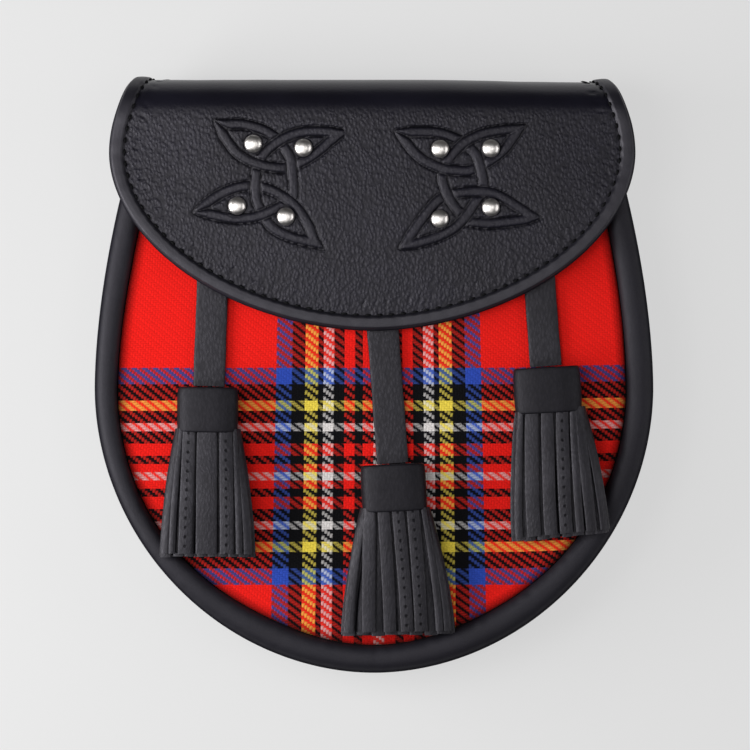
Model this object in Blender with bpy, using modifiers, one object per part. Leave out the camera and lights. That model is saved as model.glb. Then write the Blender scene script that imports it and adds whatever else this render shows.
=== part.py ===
"""Sporran pouch: a flat leather pouch with a tartan front, a fold-over flap and three leather tassels.

The pouch lies on its back. X runs across it, Y runs up towards the fold of the flap, and Z points out of the front.
The origin lies under the middle of the pouch, on the surface that its belt loops rest on. Lengths are in metres.
"""

import math

import bmesh
import bpy
from mathutils import Vector

MM = 0.001
GAP = 0.3 * MM  # air left between neighbouring pieces

# Outline of the body, seen from the front: half a superellipse below the widest line, and sides that taper up to the
# mouth.
BODY_HALF_WIDTH = 95.0 * MM
BODY_WIDEST_Y = -4.4 * MM
BODY_DROP = 96.9 * MM  # from the widest line to the lowest point
BODY_POWER = 1.96
MOUTH_Y = 84.0 * MM
MOUTH_HALF_WIDTH = 80.0 * MM
TAPER_POWER = 1.745

# Heights above the resting surface.
LOOP_THICKNESS = 2.0 * MM
BACK_Z = 7.5 * MM
BACK_THICKNESS = 2.5 * MM
RIM_FOOT_Z = 25.3 * MM
RIM_CREST_Z = 33.4 * MM
BOARD_Z = 27.4 * MM
BOARD_THICKNESS = 1.8 * MM
CLOTH_THICKNESS = 1.0 * MM
FRONT_Z = BOARD_Z + BOARD_THICKNESS + GAP + CLOTH_THICKNESS  # face of the cloth

# Rim: a rolled edge, 8.6 mm wide from the front.
RIM_WIDTH = 8.6 * MM
RIM_ROLL_HEIGHT = 5.0 * MM
RIM_ROLL_POWER = 2.3

# Gusset and back panel.
GUSSET_INSET = 1.2 * MM
GUSSET_DIP = 1.8 * MM  # how far its middle draws in
GUSSET_THICKNESS = 2.0 * MM
GUSSET_TOP_Y = 73.0 * MM
BACK_INSET = 0.6 * MM
BACK_TOP_Y = 77.0 * MM

# Flap: its lower edge is a superellipse. Above the widest line, its sides draw in over the fold.
FLAP_SHIFT_X = -0.6 * MM  # the flap sits a little left of the body's middle
FLAP_HALF_WIDTH = 89.4 * MM
FLAP_WIDE_Y = 75.5 * MM
FLAP_DROP = 60.5 * MM
FLAP_EDGE_POWER = 1.89
FLAP_DRAW_IN = 10.6 * MM  # how much narrower it is each side once past the fold
FLAP_DRAW_IN_RUN = 44.0 * MM
FLAP_THICKNESS = 2.0 * MM
FLAP_FACE_Z = 37.0 * MM
FLAP_CROWN = 2.0 * MM
CROWN_RUN = 45.0 * MM
FOLD_Y = 85.4 * MM
FOLD_REACH = 14.6 * MM
LAP_Z = 5.2 * MM
LAP_LENGTH = 21.4 * MM

# Binding: a folded strip round the flap's edge.
BINDING_WIDTH = 5.0 * MM
BINDING_THICKNESS = 1.0 * MM
BINDING_BACK_RUN = 5.4 * MM  # how far it goes on past the fold, on the lap

# Studs: centres as seen from the front.
STUD_RADIUS = 3.05 * MM
STUD_HEIGHT = 2.7 * MM
STUD_CENTRES = {
    "left": ((-40.9, 78.4), (-23.9, 77.0), (-46.4, 57.3), (-29.9, 53.7)),
    "right": ((22.4, 76.6), (39.6, 76.8), (39.6, 56.8), (22.3, 52.9)),
}

# Tassels. Points are (X, Y) in mm along the middle of each, from the hidden end of its strap to its hem.
STRAP_WIDTH = 10.8 * MM
STRAP_THICKNESS = 2.0 * MM
BAND_HEIGHT = 11.0 * MM
TASSELS = {
    "left": {
        "strap_top": (-54.4, 45.0),
        "band_top": (-56.2, -4.1),
        "band_end": (-56.4, -19.4),
        "hem": (-56.8, -60.5),
        "band_width": 21.4,
        "hem_width": 32.0,
        "hem_lift": 3.2,
    },
    "centre": {
        "strap_top": (2.2, 26.0),
        "band_top": (6.4, -30.3),
        "band_end": (7.2, -46.2),
        "hem": (7.9, -87.0),
        "band_width": 22.8,
        "hem_width": 38.0,
        "hem_lift": 0.2,
    },
    "right": {
        "strap_top": (55.3, 45.0),
        "band_top": (58.5, 2.7),
        "band_end": (59.4, -12.8),
        "hem": (63.4, -53.7),
        "band_width": 23.6,
        "hem_width": 33.4,
        "hem_lift": 3.2,
    },
}

# Belt loops on the back, and the press stud under the flap.
LOOP_X = 41.0 * MM
LOOP_WIDTH = 22.0 * MM
LOOP_LOW_Y = -38.0 * MM
LOOP_HIGH_Y = 62.0 * MM
LOOP_PAD = 10.0 * MM
LOOP_SLOPE = 9.0 * MM
PRESS_STUD_CENTRE = (-0.6 * MM, 36.0 * MM)
PRESS_STUD_RADIUS = 5.0 * MM


def empty_scene():
    for old in list(bpy.data.objects):
        bpy.data.objects.remove(old)


def make_material(name, color, roughness, metallic=0.0):
    material = bpy.data.materials.new(name)
    material.use_nodes = True
    shader = material.node_tree.nodes["Principled BSDF"]
    shader.inputs["Base Color"].default_value = (*color, 1.0)
    shader.inputs["Roughness"].default_value = roughness
    shader.inputs["Metallic"].default_value = metallic
    return material


def add_object(name, data, material, collection):
    piece = bpy.data.objects.new(name, data)
    piece.data.materials.append(material)
    collection.objects.link(piece)
    return piece


def mesh_from(name, points, faces, is_closed=True, smooth_angle=40):
    """A mesh with its faces pointing out when it is closed, and as they are given when it is an open surface."""
    mesh = bpy.data.meshes.new(name)
    mesh.from_pydata([tuple(p) for p in points], [], faces)
    if is_closed:
        shape = bmesh.new()
        shape.from_mesh(mesh)
        bmesh.ops.recalc_face_normals(shape, faces=shape.faces)
        shape.to_mesh(mesh)
        shape.free()
    mesh.shade_smooth()
    mesh.set_sharp_from_angle(angle=math.radians(smooth_angle))
    return mesh


def loft(rings, is_loop=False):
    """Points and faces of a skin over closed rings of equal length, capped at both ends unless it runs in a loop."""
    count = len(rings[0])
    points = [point for ring in rings for point in ring]
    faces = []
    for i in range(len(rings) if is_loop else len(rings) - 1):
        here = i * count
        after = (i + 1) % len(rings) * count
        for j in range(count):
            k = (j + 1) % count
            faces.append((here + j, here + k, after + k, after + j))
    if not is_loop:
        faces.append(tuple(range(count)))
        faces.append(tuple(range(len(points) - count, len(points))))
    return points, faces


def sheet(rows):
    """Points and faces of an open surface through rows of equal length."""
    count = len(rows[0])
    points = [point for row in rows for point in row]
    faces = []
    for i in range(len(rows) - 1):
        for j in range(count - 1):
            corner = i * count + j
            faces.append((corner, corner + 1, corner + count + 1, corner + count))
    return points, faces


def thicken(piece, thickness):
    """Gives an open surface its wall, on the side that its faces point away from."""
    solidify = piece.modifiers.new("Wall", "SOLIDIFY")
    solidify.thickness = thickness
    solidify.offset = -1.0
    solidify.use_even_offset = True


def flat_outline(name, points, low_z, thickness):
    """A flat piece cut to an outline, as a filled curve with half its thickness extruded each way."""
    curve = bpy.data.curves.new(name, "CURVE")
    curve.dimensions = "2D"
    curve.fill_mode = "BOTH"
    curve.extrude = thickness / 2
    spline = curve.splines.new("POLY")
    spline.points.add(len(points) - 1)
    for target, point in zip(spline.points, points):
        target.co = (point.x, point.y, 0.0, 1.0)
    spline.use_cyclic_u = True
    middle = Vector((0.0, 0.0, low_z + thickness / 2))
    return curve, middle


# ---- outlines seen from the front -------------------------------------------------------------------------------


def body_half_width(y):
    """Half the body's width at a height y."""
    if y <= BODY_WIDEST_Y:
        part = (BODY_WIDEST_Y - y) / BODY_DROP
        return BODY_HALF_WIDTH * max(0.0, 1 - part**BODY_POWER) ** (1 / BODY_POWER)
    part = (y - BODY_WIDEST_Y) / (MOUTH_Y - BODY_WIDEST_Y)
    return BODY_HALF_WIDTH - (BODY_HALF_WIDTH - MOUTH_HALF_WIDTH) * part**TAPER_POWER


def body_side(top_y, low_steps=15, side_steps=6):
    """The right side of the body from its lowest point up to top_y."""
    points = []
    for i in range(low_steps):
        angle = math.pi / 2 * i / low_steps
        x = BODY_HALF_WIDTH * math.sin(angle) ** (2 / BODY_POWER)
        y = BODY_WIDEST_Y - BODY_DROP * math.cos(angle) ** (2 / BODY_POWER)
        points.append(Vector((x, y)))
    for i in range(side_steps + 1):
        y = BODY_WIDEST_Y + (top_y - BODY_WIDEST_Y) * i / side_steps
        points.append(Vector((body_half_width(y), y)))
    return points


def body_outline(top_y, corner, corner_steps=5):
    """The whole outline, anticlockwise from its lowest point, with a straight top and rounded top corners."""
    right = body_side(top_y - corner)
    start = right[-1]
    turn = Vector((body_half_width(top_y), top_y))
    end = turn - Vector((corner, 0.0))
    for i in range(1, corner_steps + 1):
        t = i / corner_steps
        right.append(start * (1 - t) ** 2 + turn * 2 * t * (1 - t) + end * t**2)
    left = [Vector((-point.x, point.y)) for point in reversed(right[1:])]
    return right + left


def mirrored_path(right):
    """A path from the left end, down through the tip, and up to the right end."""
    left = [Vector((-point.x, point.y)) for point in reversed(right[1:])]
    return left + right


def inward_steps(path, is_loop):
    """For each point of an anticlockwise path, the step that moves both of its edges in by one unit."""
    steps = []
    count = len(path)
    for i, point in enumerate(path):
        before = path[i - 1] if is_loop or i > 0 else None
        after = path[(i + 1) % count] if is_loop or i < count - 1 else None
        edges = [(point - before).normalized()] if before is not None else []
        edges += [(after - point).normalized()] if after is not None else []
        normals = [Vector((-edge.y, edge.x)) for edge in edges]
        middle = sum(normals, Vector((0.0, 0.0))).normalized()
        steps.append(middle / middle.dot(normals[0]))
    return steps


def inset(path, distance, is_loop=True):
    return [point + step * distance for point, step in zip(path, inward_steps(path, is_loop))]


# ---- body -------------------------------------------------------------------------------------------------------


def make_back_panel(material, collection):
    outline = inset(body_outline(BACK_TOP_Y, 6.0 * MM), BACK_INSET)
    curve, middle = flat_outline("back_panel", outline, BACK_Z, BACK_THICKNESS)
    add_object("back_panel", curve, material, collection).location = middle


def make_gusset(material, collection):
    """An upright strip that draws in along its middle, open at the mouth."""
    right = body_side(GUSSET_TOP_Y)
    path = mirrored_path(right)
    low = BACK_Z + BACK_THICKNESS + GAP
    high = RIM_FOOT_Z - GAP
    levels = 4
    outer = []
    for i in range(levels + 1):
        part = i / levels
        outer.append((GUSSET_INSET + GUSSET_DIP * math.sin(math.pi * part), low + (high - low) * part))
    inner = [(across + GUSSET_THICKNESS, z) for across, z in reversed(outer)]
    rings = []
    for point, step in zip(path, inward_steps(path, is_loop=False)):
        rings.append([(*(point + step * across), z) for across, z in outer + inner])
    points, faces = loft(rings)
    add_object("gusset", mesh_from("gusset", points, faces), material, collection)


def make_rim(material, collection):
    """A roll carried round the outline: round on top, with an upright inner wall beside the cloth."""
    half = RIM_WIDTH / 2
    shoulder = RIM_CREST_Z - RIM_ROLL_HEIGHT
    section = [(3.6 * MM, RIM_FOOT_Z), (0.5 * MM, RIM_FOOT_Z)]
    steps = 8
    for i in range(steps + 1):
        angle = math.pi * (1 - i / steps)
        reach = math.copysign(abs(math.cos(angle)) ** (2 / RIM_ROLL_POWER), math.cos(angle))
        rise = math.sin(angle) ** (2 / RIM_ROLL_POWER) if 0 < i < steps else 0.0
        section.append((half + half * reach, shoulder + RIM_ROLL_HEIGHT * rise))
    section.append((RIM_WIDTH, BOARD_Z))
    path = body_outline(MOUTH_Y, 12.0 * MM)
    rings = []
    for point, step in zip(path, inward_steps(path, is_loop=True)):
        rings.append([(*(point + step * across), z) for across, z in section])
    points, faces = loft(rings, is_loop=True)
    add_object("rim", mesh_from("rim", points, faces), material, collection)


def make_front(board_material, cloth_material, collection):
    outline = inset(body_outline(MOUTH_Y, 12.0 * MM), RIM_WIDTH + GAP)
    curve, middle = flat_outline("front_board", outline, BOARD_Z, BOARD_THICKNESS)
    add_object("front_board", curve, board_material, collection).location = middle
    cloth_z = BOARD_Z + BOARD_THICKNESS + GAP
    curve, middle = flat_outline("tartan_front", outline, cloth_z, CLOTH_THICKNESS)
    add_object("tartan_front", curve, cloth_material, collection).location = middle


# ---- flap -------------------------------------------------------------------------------------------------------

FOLD_RISE = (FLAP_FACE_Z - LAP_Z) / 2
FOLD_LENGTH = math.pi * (FOLD_REACH + FOLD_RISE) / 2


def crown_at(x, y):
    """How far the flap's face stands above FLAP_FACE_Z: highest along its middle, and nothing at its tip."""
    across = 1 - (x / FLAP_HALF_WIDTH) ** 2
    along = min(1.0, max(0.0, (y - FLAP_WIDE_Y + FLAP_DROP) / CROWN_RUN))
    return FLAP_CROWN * across * math.sin(math.pi / 2 * along)


def flap_point(x, along, depth):
    """A point of the flap at a depth below its face. along is Y on the front, and goes on round the fold and down
    the lap as a length of leather."""
    top = FLAP_FACE_Z + crown_at(x, along)
    if along <= FOLD_Y:
        return (x + FLAP_SHIFT_X, along, top - depth)
    turn = (along - FOLD_Y) / FOLD_LENGTH * math.pi
    if turn >= math.pi:
        return (x + FLAP_SHIFT_X, FOLD_Y - (along - FOLD_Y - FOLD_LENGTH), LAP_Z + depth)
    rise = (top - LAP_Z) / 2
    y = FOLD_Y + (FOLD_REACH - depth) * math.sin(turn)
    z = LAP_Z + rise + (rise - depth) * math.cos(turn)
    return (x + FLAP_SHIFT_X, y, z)


def flap_half_width(along):
    """Half the flap's width above its widest line: it draws in over the fold and stays even down the lap."""
    part = min(1.0, (along - FLAP_WIDE_Y) / FLAP_DRAW_IN_RUN)
    return FLAP_HALF_WIDTH - FLAP_DRAW_IN * (1 - math.cos(math.pi * part)) / 2


def flap_right_edge(last):
    """The right edge of the flap as (x, along) points, from its tip to the given length along the leather."""
    points = []
    tip_steps = 12
    for i in range(tip_steps + 1):
        angle = math.pi / 2 * (i / tip_steps - 1)
        across = max(0.0, math.cos(angle)) ** (2 / FLAP_EDGE_POWER) if i else 0.0
        down = abs(math.sin(angle)) ** (2 / FLAP_EDGE_POWER)
        points.append(Vector((FLAP_HALF_WIDTH * across, FLAP_WIDE_Y - FLAP_DROP * down)))
    stations = [79.0 * MM, 82.5 * MM]
    fold_steps = 10
    stations += [FOLD_Y + FOLD_LENGTH * i / fold_steps for i in range(fold_steps + 1)]
    stations.append(last)
    points += [Vector((flap_half_width(along), along)) for along in stations]
    return points


def make_flap(material, collection):
    edge = flap_right_edge(FOLD_Y + FOLD_LENGTH + LAP_LENGTH)
    path = mirrored_path(edge)
    leather_edge = inset(path, BINDING_THICKNESS + GAP, is_loop=False)[len(edge) - 1 :]
    columns = 12
    rows = []
    for corner in leather_edge[1:]:
        row = [flap_point(corner.x * (2 * i / columns - 1), corner.y, 0.0) for i in range(columns + 1)]
        rows.append(row)
    points, faces = sheet(rows)
    tip = len(points)
    points.append(flap_point(0.0, leather_edge[0].y, 0.0))
    faces += [(tip, i + 1, i) for i in range(columns)]
    flap = add_object("flap", mesh_from("flap", points, faces, is_closed=False), material, collection)
    thicken(flap, FLAP_THICKNESS)


def make_binding(material, collection):
    """A strip folded over the flap's edge: a U in section, carried from the lap down round the tip and back."""
    path = mirrored_path(flap_right_edge(FOLD_Y + FOLD_LENGTH + BINDING_BACK_RUN))
    over = -(BINDING_THICKNESS + GAP)
    under = FLAP_THICKNESS + BINDING_THICKNESS + GAP
    web = BINDING_THICKNESS
    section = [
        (BINDING_WIDTH, over),
        (web, over),
        (0.0, over + web),
        (0.0, under - web),
        (web, under),
        (BINDING_WIDTH, under),
        (BINDING_WIDTH, under - web),
        (web, under - web),
        (web, over + web),
        (BINDING_WIDTH, over + web),
    ]
    rings = []
    for point, step in zip(path, inward_steps(path, is_loop=False)):
        ring = []
        for across, depth in section:
            place = point + step * across
            ring.append(flap_point(place.x, place.y, depth))
        rings.append(ring)
    points, faces = loft(rings)
    add_object("flap_binding", mesh_from("flap_binding", points, faces), material, collection)


def dome_mesh(name, radius, height):
    """A turned dome with a flat base, its profile running down the outer side."""
    arc_steps = 4
    profile = []
    for i in range(arc_steps + 1):
        angle = math.pi / 2 * (1 - i / arc_steps)
        profile.append((radius * math.cos(angle) if i else 0.0, 0.0, height * math.sin(angle)))
    profile.append((0.0, 0.0, 0.0))
    mesh = bpy.data.meshes.new(name)
    mesh.from_pydata(profile, [(i, i + 1) for i in range(len(profile) - 1)], [])
    return mesh


def turn_profile(piece, steps):
    screw = piece.modifiers.new("Turn", "SCREW")
    screw.steps = steps
    screw.render_steps = steps
    screw.use_merge_vertices = True
    screw.merge_threshold = 0.00001
    screw.use_smooth_shade = True


def make_studs(material, collection):
    mesh = dome_mesh("stud", STUD_RADIUS, STUD_HEIGHT)
    mesh.materials.append(material)
    for side, centres in STUD_CENTRES.items():
        for number, (x_mm, y_mm) in enumerate(centres, 1):
            x = x_mm * MM
            y = y_mm * MM
            stud = bpy.data.objects.new(f"stud_{side}_{number}", mesh)
            collection.objects.link(stud)
            face_z = flap_point(x - FLAP_SHIFT_X, y, 0.0)[2]
            stud.location = (x, y, face_z + GAP)
            turn_profile(stud, 12)


def make_press_stud(material, collection):
    x, y = PRESS_STUD_CENTRE
    low = FRONT_Z + GAP
    high = flap_point(x - FLAP_SHIFT_X, y, FLAP_THICKNESS)[2] - GAP
    profile = [(0.0, high), (PRESS_STUD_RADIUS, high), (PRESS_STUD_RADIUS, low), (0.0, low)]
    mesh = bpy.data.meshes.new("press_stud")
    mesh.from_pydata([(r, 0.0, z) for r, z in profile], [(0, 1), (1, 2), (2, 3)], [])
    stud = add_object("press_stud", mesh, material, collection)
    stud.location = (x, y, 0.0)
    turn_profile(stud, 16)


# ---- tassels ----------------------------------------------------------------------------------------------------


def plan_point(pair):
    return Vector(pair) * MM


def make_strap(side, row, material, collection):
    top = plan_point(row["strap_top"])
    end = plan_point(row["band_top"])
    run = end - top
    box = bmesh.new()
    bmesh.ops.create_cube(box, size=1.0)
    bmesh.ops.scale(box, vec=(STRAP_WIDTH, run.length - GAP, STRAP_THICKNESS), verts=box.verts)
    mesh = bpy.data.meshes.new(f"strap_{side}")
    box.to_mesh(mesh)
    box.free()
    strap = add_object(f"strap_{side}", mesh, material, collection)
    middle = top + run * (0.5 - 0.5 * GAP / run.length)
    strap.location = (middle.x, middle.y, FRONT_Z + GAP + STRAP_THICKNESS / 2)
    strap.rotation_euler.z = math.atan2(run.x, -run.y)


def rounded_section(middle, across, half_width, low, high, power, count):
    """A ring round a middle point: a superellipse, half_width to each side along across, from low to high in Z."""
    ring = []
    for i in range(count):
        angle = 2 * math.pi * (i + 0.5) / count
        side = math.copysign(abs(math.cos(angle)) ** (2 / power), math.cos(angle))
        rise = math.copysign(abs(math.sin(angle)) ** (2 / power), math.sin(angle))
        place = middle + across * half_width * side
        ring.append((place.x, place.y, (low + high) / 2 + (high - low) / 2 * rise))
    return ring


def square_to(run):
    """The direction square to a run down a tassel, pointing to its right as seen from the front."""
    along = run.normalized()
    return Vector((-along.y, along.x))


def make_band(side, row, material, collection):
    top = plan_point(row["band_top"])
    end = plan_point(row["band_end"])
    across = square_to(end - top)
    half = row["band_width"] * MM / 2
    low = FRONT_Z + GAP
    rings = []
    for part, swell in ((0.0, 0.93), (0.12, 0.99), (0.5, 1.0), (0.88, 0.99), (1.0, 0.95)):
        middle = top.lerp(end, part)
        rings.append(rounded_section(middle, across, half * swell, low, low + BAND_HEIGHT * swell, 2.6, 20))
    points, faces = loft(rings)
    add_object(f"band_{side}", mesh_from(f"band_{side}", points, faces), material, collection)


def make_skirt(side, row, material, collection):
    """The outer form of the cut strips: it flares from the band to the hem, and its hem may lie over the rim."""
    band_run = plan_point(row["band_end"]) - plan_point(row["band_top"])
    start = plan_point(row["band_end"]) + band_run.normalized() * GAP
    hem = plan_point(row["hem"])
    top_half = row["band_width"] * MM * 0.47
    hem_half = row["hem_width"] * MM / 2
    low = FRONT_Z + GAP
    rings = []
    for part, flare, lift, thickness in (
        (0.0, 0.0, 0.0, 9.6),
        (0.15, 0.22, 0.35, 9.6),
        (0.4, 0.52, 0.8, 9.2),
        (0.62, 0.76, 1.0, 8.6),
        (0.82, 0.91, 1.0, 8.2),
        (1.0, 1.0, 1.0, 8.0),
    ):
        middle = start.lerp(hem, part)
        across = square_to(band_run if part == 0 else hem - start)
        half = top_half + (hem_half - top_half) * flare
        floor_z = low + row["hem_lift"] * MM * lift
        rings.append(rounded_section(middle, across, half, floor_z, floor_z + thickness * MM, 3.2, 20))
    points, faces = loft(rings)
    add_object(f"tassel_{side}", mesh_from(f"tassel_{side}", points, faces), material, collection)


# ---- back -------------------------------------------------------------------------------------------------------


def make_belt_loop(side, x, material, collection):
    """A strap that lies on the back panel at both ends, with a flat outer face held off it by the belt's depth."""
    pad_z = BACK_Z - GAP - LOOP_THICKNESS
    half = [(0.0, pad_z), (LOOP_PAD, pad_z)]
    for part in (0.25, 0.5, 0.75):
        ease = (1 - math.cos(math.pi * part)) / 2
        half.append((LOOP_PAD + LOOP_SLOPE * part, pad_z * (1 - ease)))
    half.append((LOOP_PAD + LOOP_SLOPE, 0.0))
    profile = [(LOOP_LOW_Y + run, z) for run, z in half]
    profile += [(LOOP_HIGH_Y - run, z) for run, z in reversed(half)]
    rows = [[(x - LOOP_WIDTH / 2, y, z), (x + LOOP_WIDTH / 2, y, z)] for y, z in profile]
    points, faces = sheet(rows)
    faces = [face[::-1] for face in faces]
    name = f"belt_loop_{side}"
    loop = add_object(name, mesh_from(name, points, faces, is_closed=False), material, collection)
    thicken(loop, LOOP_THICKNESS)


def main():
    empty_scene()
    parts = bpy.data.collections.new("sporran_pouch")
    bpy.context.scene.collection.children.link(parts)

    smooth_leather = make_material("smooth_leather", (0.012, 0.012, 0.014), 0.35)
    grained_leather = make_material("grained_leather", (0.02, 0.02, 0.022), 0.45)
    strap_leather = make_material("strap_leather", (0.025, 0.026, 0.028), 0.5)
    board = make_material("board", (0.03, 0.03, 0.03), 0.8)
    tartan = make_material("tartan", (0.6, 0.02, 0.015), 0.85)
    polished_steel = make_material("polished_steel", (0.75, 0.75, 0.76), 0.08, 1.0)

    make_back_panel(smooth_leather, parts)
    make_gusset(smooth_leather, parts)
    make_rim(smooth_leather, parts)
    make_front(board, tartan, parts)
    make_flap(grained_leather, parts)
    make_binding(smooth_leather, parts)
    make_studs(polished_steel, parts)
    make_press_stud(polished_steel, parts)
    for side, row in TASSELS.items():
        make_strap(side, row, strap_leather, parts)
        make_band(side, row, strap_leather, parts)
        make_skirt(side, row, strap_leather, parts)
    make_belt_loop("left", -LOOP_X, strap_leather, parts)
    make_belt_loop("right", LOOP_X, strap_leather, parts)


main()
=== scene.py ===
import math

import bmesh
import bpy
import numpy as np
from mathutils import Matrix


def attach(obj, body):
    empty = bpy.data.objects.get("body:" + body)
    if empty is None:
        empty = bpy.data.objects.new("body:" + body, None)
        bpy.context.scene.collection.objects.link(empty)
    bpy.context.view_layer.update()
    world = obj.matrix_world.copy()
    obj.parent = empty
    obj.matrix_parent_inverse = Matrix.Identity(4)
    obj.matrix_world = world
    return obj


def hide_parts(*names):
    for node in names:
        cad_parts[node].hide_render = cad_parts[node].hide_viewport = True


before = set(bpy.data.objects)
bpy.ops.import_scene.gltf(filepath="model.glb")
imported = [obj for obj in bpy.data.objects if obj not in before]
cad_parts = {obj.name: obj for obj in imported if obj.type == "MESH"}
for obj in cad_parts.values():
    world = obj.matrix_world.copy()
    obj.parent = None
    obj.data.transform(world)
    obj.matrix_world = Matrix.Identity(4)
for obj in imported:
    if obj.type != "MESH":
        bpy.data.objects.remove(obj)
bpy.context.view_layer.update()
mm = 0.001
fineStep = 0.25  # mm between the points of the lines that stitches follow

# Small tools for paths and surfaces.


def unit(vectors):
    return vectors / np.linalg.norm(vectors, axis=-1, keepdims=True)


def pointsAt(at, walked, path):
    # the points of a path at given lengths along it
    return np.column_stack([np.interp(at, walked, column) for column in path.T])


def signedPower(value, power):
    return np.sign(value) * np.abs(value) ** power


def addObject(name, data):
    made = bpy.data.objects.new(name, data)
    bpy.context.scene.collection.objects.link(made)
    return made


def evenPath(points, spacing):
    # the same path with its points an even step apart, by length walked
    walked = np.concatenate(([0.0], np.cumsum(np.linalg.norm(np.diff(points, axis=0), axis=1))))
    at = np.linspace(0, walked[-1], int(round(walked[-1] / spacing)) + 1)
    return pointsAt(at, walked, points)


def smoothPath(points, steps=10):
    # a cubic between each two points, aimed along their neighbours (Catmull-Rom)
    p = np.vstack((2 * points[0] - points[1], points, 2 * points[-1] - points[-2]))
    t = np.linspace(0, 1, steps, endpoint=False)[None, :, None]
    a, b, c, d = p[:-3, None], p[1:-2, None], p[2:-1, None], p[3:, None]
    curve = 2 * b + (c - a) * t + (2 * a - 5 * b + 4 * c - d) * t**2 + (3 * b - a - 3 * c + d) * t**3
    return np.vstack((curve.reshape(-1, 2) / 2, points[-1:]))


def leftNormals(path, isLoop=False):
    # square to the run, to its left: inwards on an anticlockwise outline
    if isLoop:
        run = np.roll(path, -1, axis=0) - np.roll(path, 1, axis=0)
    else:
        run = np.gradient(path, axis=0)
    run = unit(run)
    return np.column_stack((-run[:, 1], run[:, 0]))


def gridFaces(rows, columns, loopRows=False, loopColumns=False):
    # the four corners of each cell of a rows x columns grid of points
    rowCells, columnCells = rows - (not loopRows), columns - (not loopColumns)
    i, j = np.divmod(np.arange(rowCells * columnCells), columnCells)
    iNext, jNext = (i + 1) % rows, (j + 1) % columns
    here, above = i * columns, iNext * columns
    return np.column_stack((here + j, here + jNext, above + jNext, above + j))


def withEnds(rings, shrink=0.6):
    # closes a row of rings at both ends: a smaller copy of the end ring, then all its points at its middle
    def end(ring):
        middle = ring.mean(axis=0, keepdims=True)
        return middle + (ring - middle) * shrink, np.repeat(middle, len(ring), axis=0)

    nearFirst, first = end(rings[0])
    nearLast, last = end(rings[-1])
    return np.concatenate((first[None], nearFirst[None], rings, nearLast[None], last[None]))


def skin(rings, loopRows=False):
    # a closed surface over rings of equal length
    if not loopRows:
        rings = withEnds(rings)
    return rings, gridFaces(rings.shape[0], rings.shape[1], loopRows, True)


def stripSection(middle, thickness, power=3.0, capSteps=5):
    # a ring round a drawn line: half the thickness to each side, with rounded-off square ends
    normals = leftNormals(middle)
    half = np.broadcast_to(np.asarray(thickness) / 2, len(middle))[:, None]
    angle = np.linspace(0, math.pi, capSteps + 2)[1:-1]
    reach = np.sin(angle) ** (2 / power)
    side = signedPower(np.cos(angle), 2 / power)

    def cap(k, sign, forward):
        return middle[k] + half[k] * (reach[:, None] * forward + side[:, None] * normals[k] * sign)

    firstRun, lastRun = unit(middle[0] - middle[1]), unit(middle[-1] - middle[-2])
    near, far = middle + normals * half, (middle - normals * half)[::-1]
    return np.vstack((near, cap(-1, 1, lastRun), far, cap(0, -1, firstRun)))


def flatSection(width, thickness, cup=0.0, count=9, power=3.0):
    # the section of a strap, its edges bent down by cup
    across = np.linspace(-1, 1, count) * (width - thickness) / 2
    bend = -cup * (across / np.abs(across).max()) ** 2
    return stripSection(np.column_stack((across, bend))[::-1], thickness, power)


def ribbon(centres, acrossDirection, upDirection, sections):
    # carries one section (across, up) for each centre along the row of centres
    sideways = sections[..., :1] * np.broadcast_to(acrossDirection, centres.shape)[:, None]
    upwards = sections[..., 1:] * np.broadcast_to(upDirection, centres.shape)[:, None]
    return centres[:, None] + sideways + upwards


def waves(place, lengths, seed):
    # soft unevenness from -1 to 1 along one direction: sines of a few lengths, at seeded starts
    starts = np.random.default_rng(seed).uniform(0, 2 * math.pi, len(lengths))
    sines = [np.sin(2 * math.pi * place / length + start) for length, start in zip(lengths, starts)]
    return sum(sines) / len(lengths)


def smoothStep(value, low, high):
    part = np.clip((value - low) / (high - low), 0, 1)
    return part * part * (3 - 2 * part)


def addPiece(name, parts, material, replaced=(), values=None, mergeAt=0.01, sharpAngle=48):
    # parts are (points in mm, faces); meeting points are merged, and the faces then made to point outwards
    grids = [(np.asarray(points).reshape(-1, 3), faces) for points, faces in parts]
    starts = np.cumsum([0] + [len(points) for points, faces in grids])
    faces = np.concatenate([faces + start for (points, faces), start in zip(grids, starts)])
    points = np.concatenate([points for points, faces in grids]) * mm
    mesh = bpy.data.meshes.new(name)
    mesh.vertices.add(len(points))
    mesh.vertices.foreach_set("co", points.astype(np.float32).ravel())
    mesh.loops.add(faces.size)
    mesh.loops.foreach_set("vertex_index", faces.astype(np.int32).ravel())
    mesh.polygons.add(len(faces))
    mesh.polygons.foreach_set("loop_start", np.arange(0, faces.size, 4, dtype=np.int32))
    mesh.update(calc_edges=True)
    for title, data in (values or {}).items():
        kind, field = ("FLOAT", "value") if data.ndim == 1 else ("FLOAT_VECTOR", "vector")
        mesh.attributes.new(title, kind, "POINT").data.foreach_set(field, data.astype(np.float32).ravel())
    shape = bmesh.new()
    shape.from_mesh(mesh)
    bmesh.ops.remove_doubles(shape, verts=shape.verts, dist=mergeAt * mm)
    bmesh.ops.recalc_face_normals(shape, faces=shape.faces)
    shape.to_mesh(mesh)
    shape.free()
    mesh.shade_smooth()
    mesh.set_sharp_from_angle(angle=math.radians(sharpAngle))
    mesh.materials.append(material)
    piece = addObject(name, mesh)
    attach(piece, "root")
    if replaced:
        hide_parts(*replaced)
    return piece


# Materials. Inputs go by number where several of a node's sockets have the same name.


def toLinear(hexColour):
    # sRGB hex to the linear colour that the shaders work in
    parts = np.array([int(hexColour[k : k + 2], 16) for k in (1, 3, 5)]) / 255
    linear = np.where(parts <= 0.04045, parts / 12.92, ((parts + 0.055) / 1.055) ** 2.4)
    return (*[float(v) for v in linear], 1.0)


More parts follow.
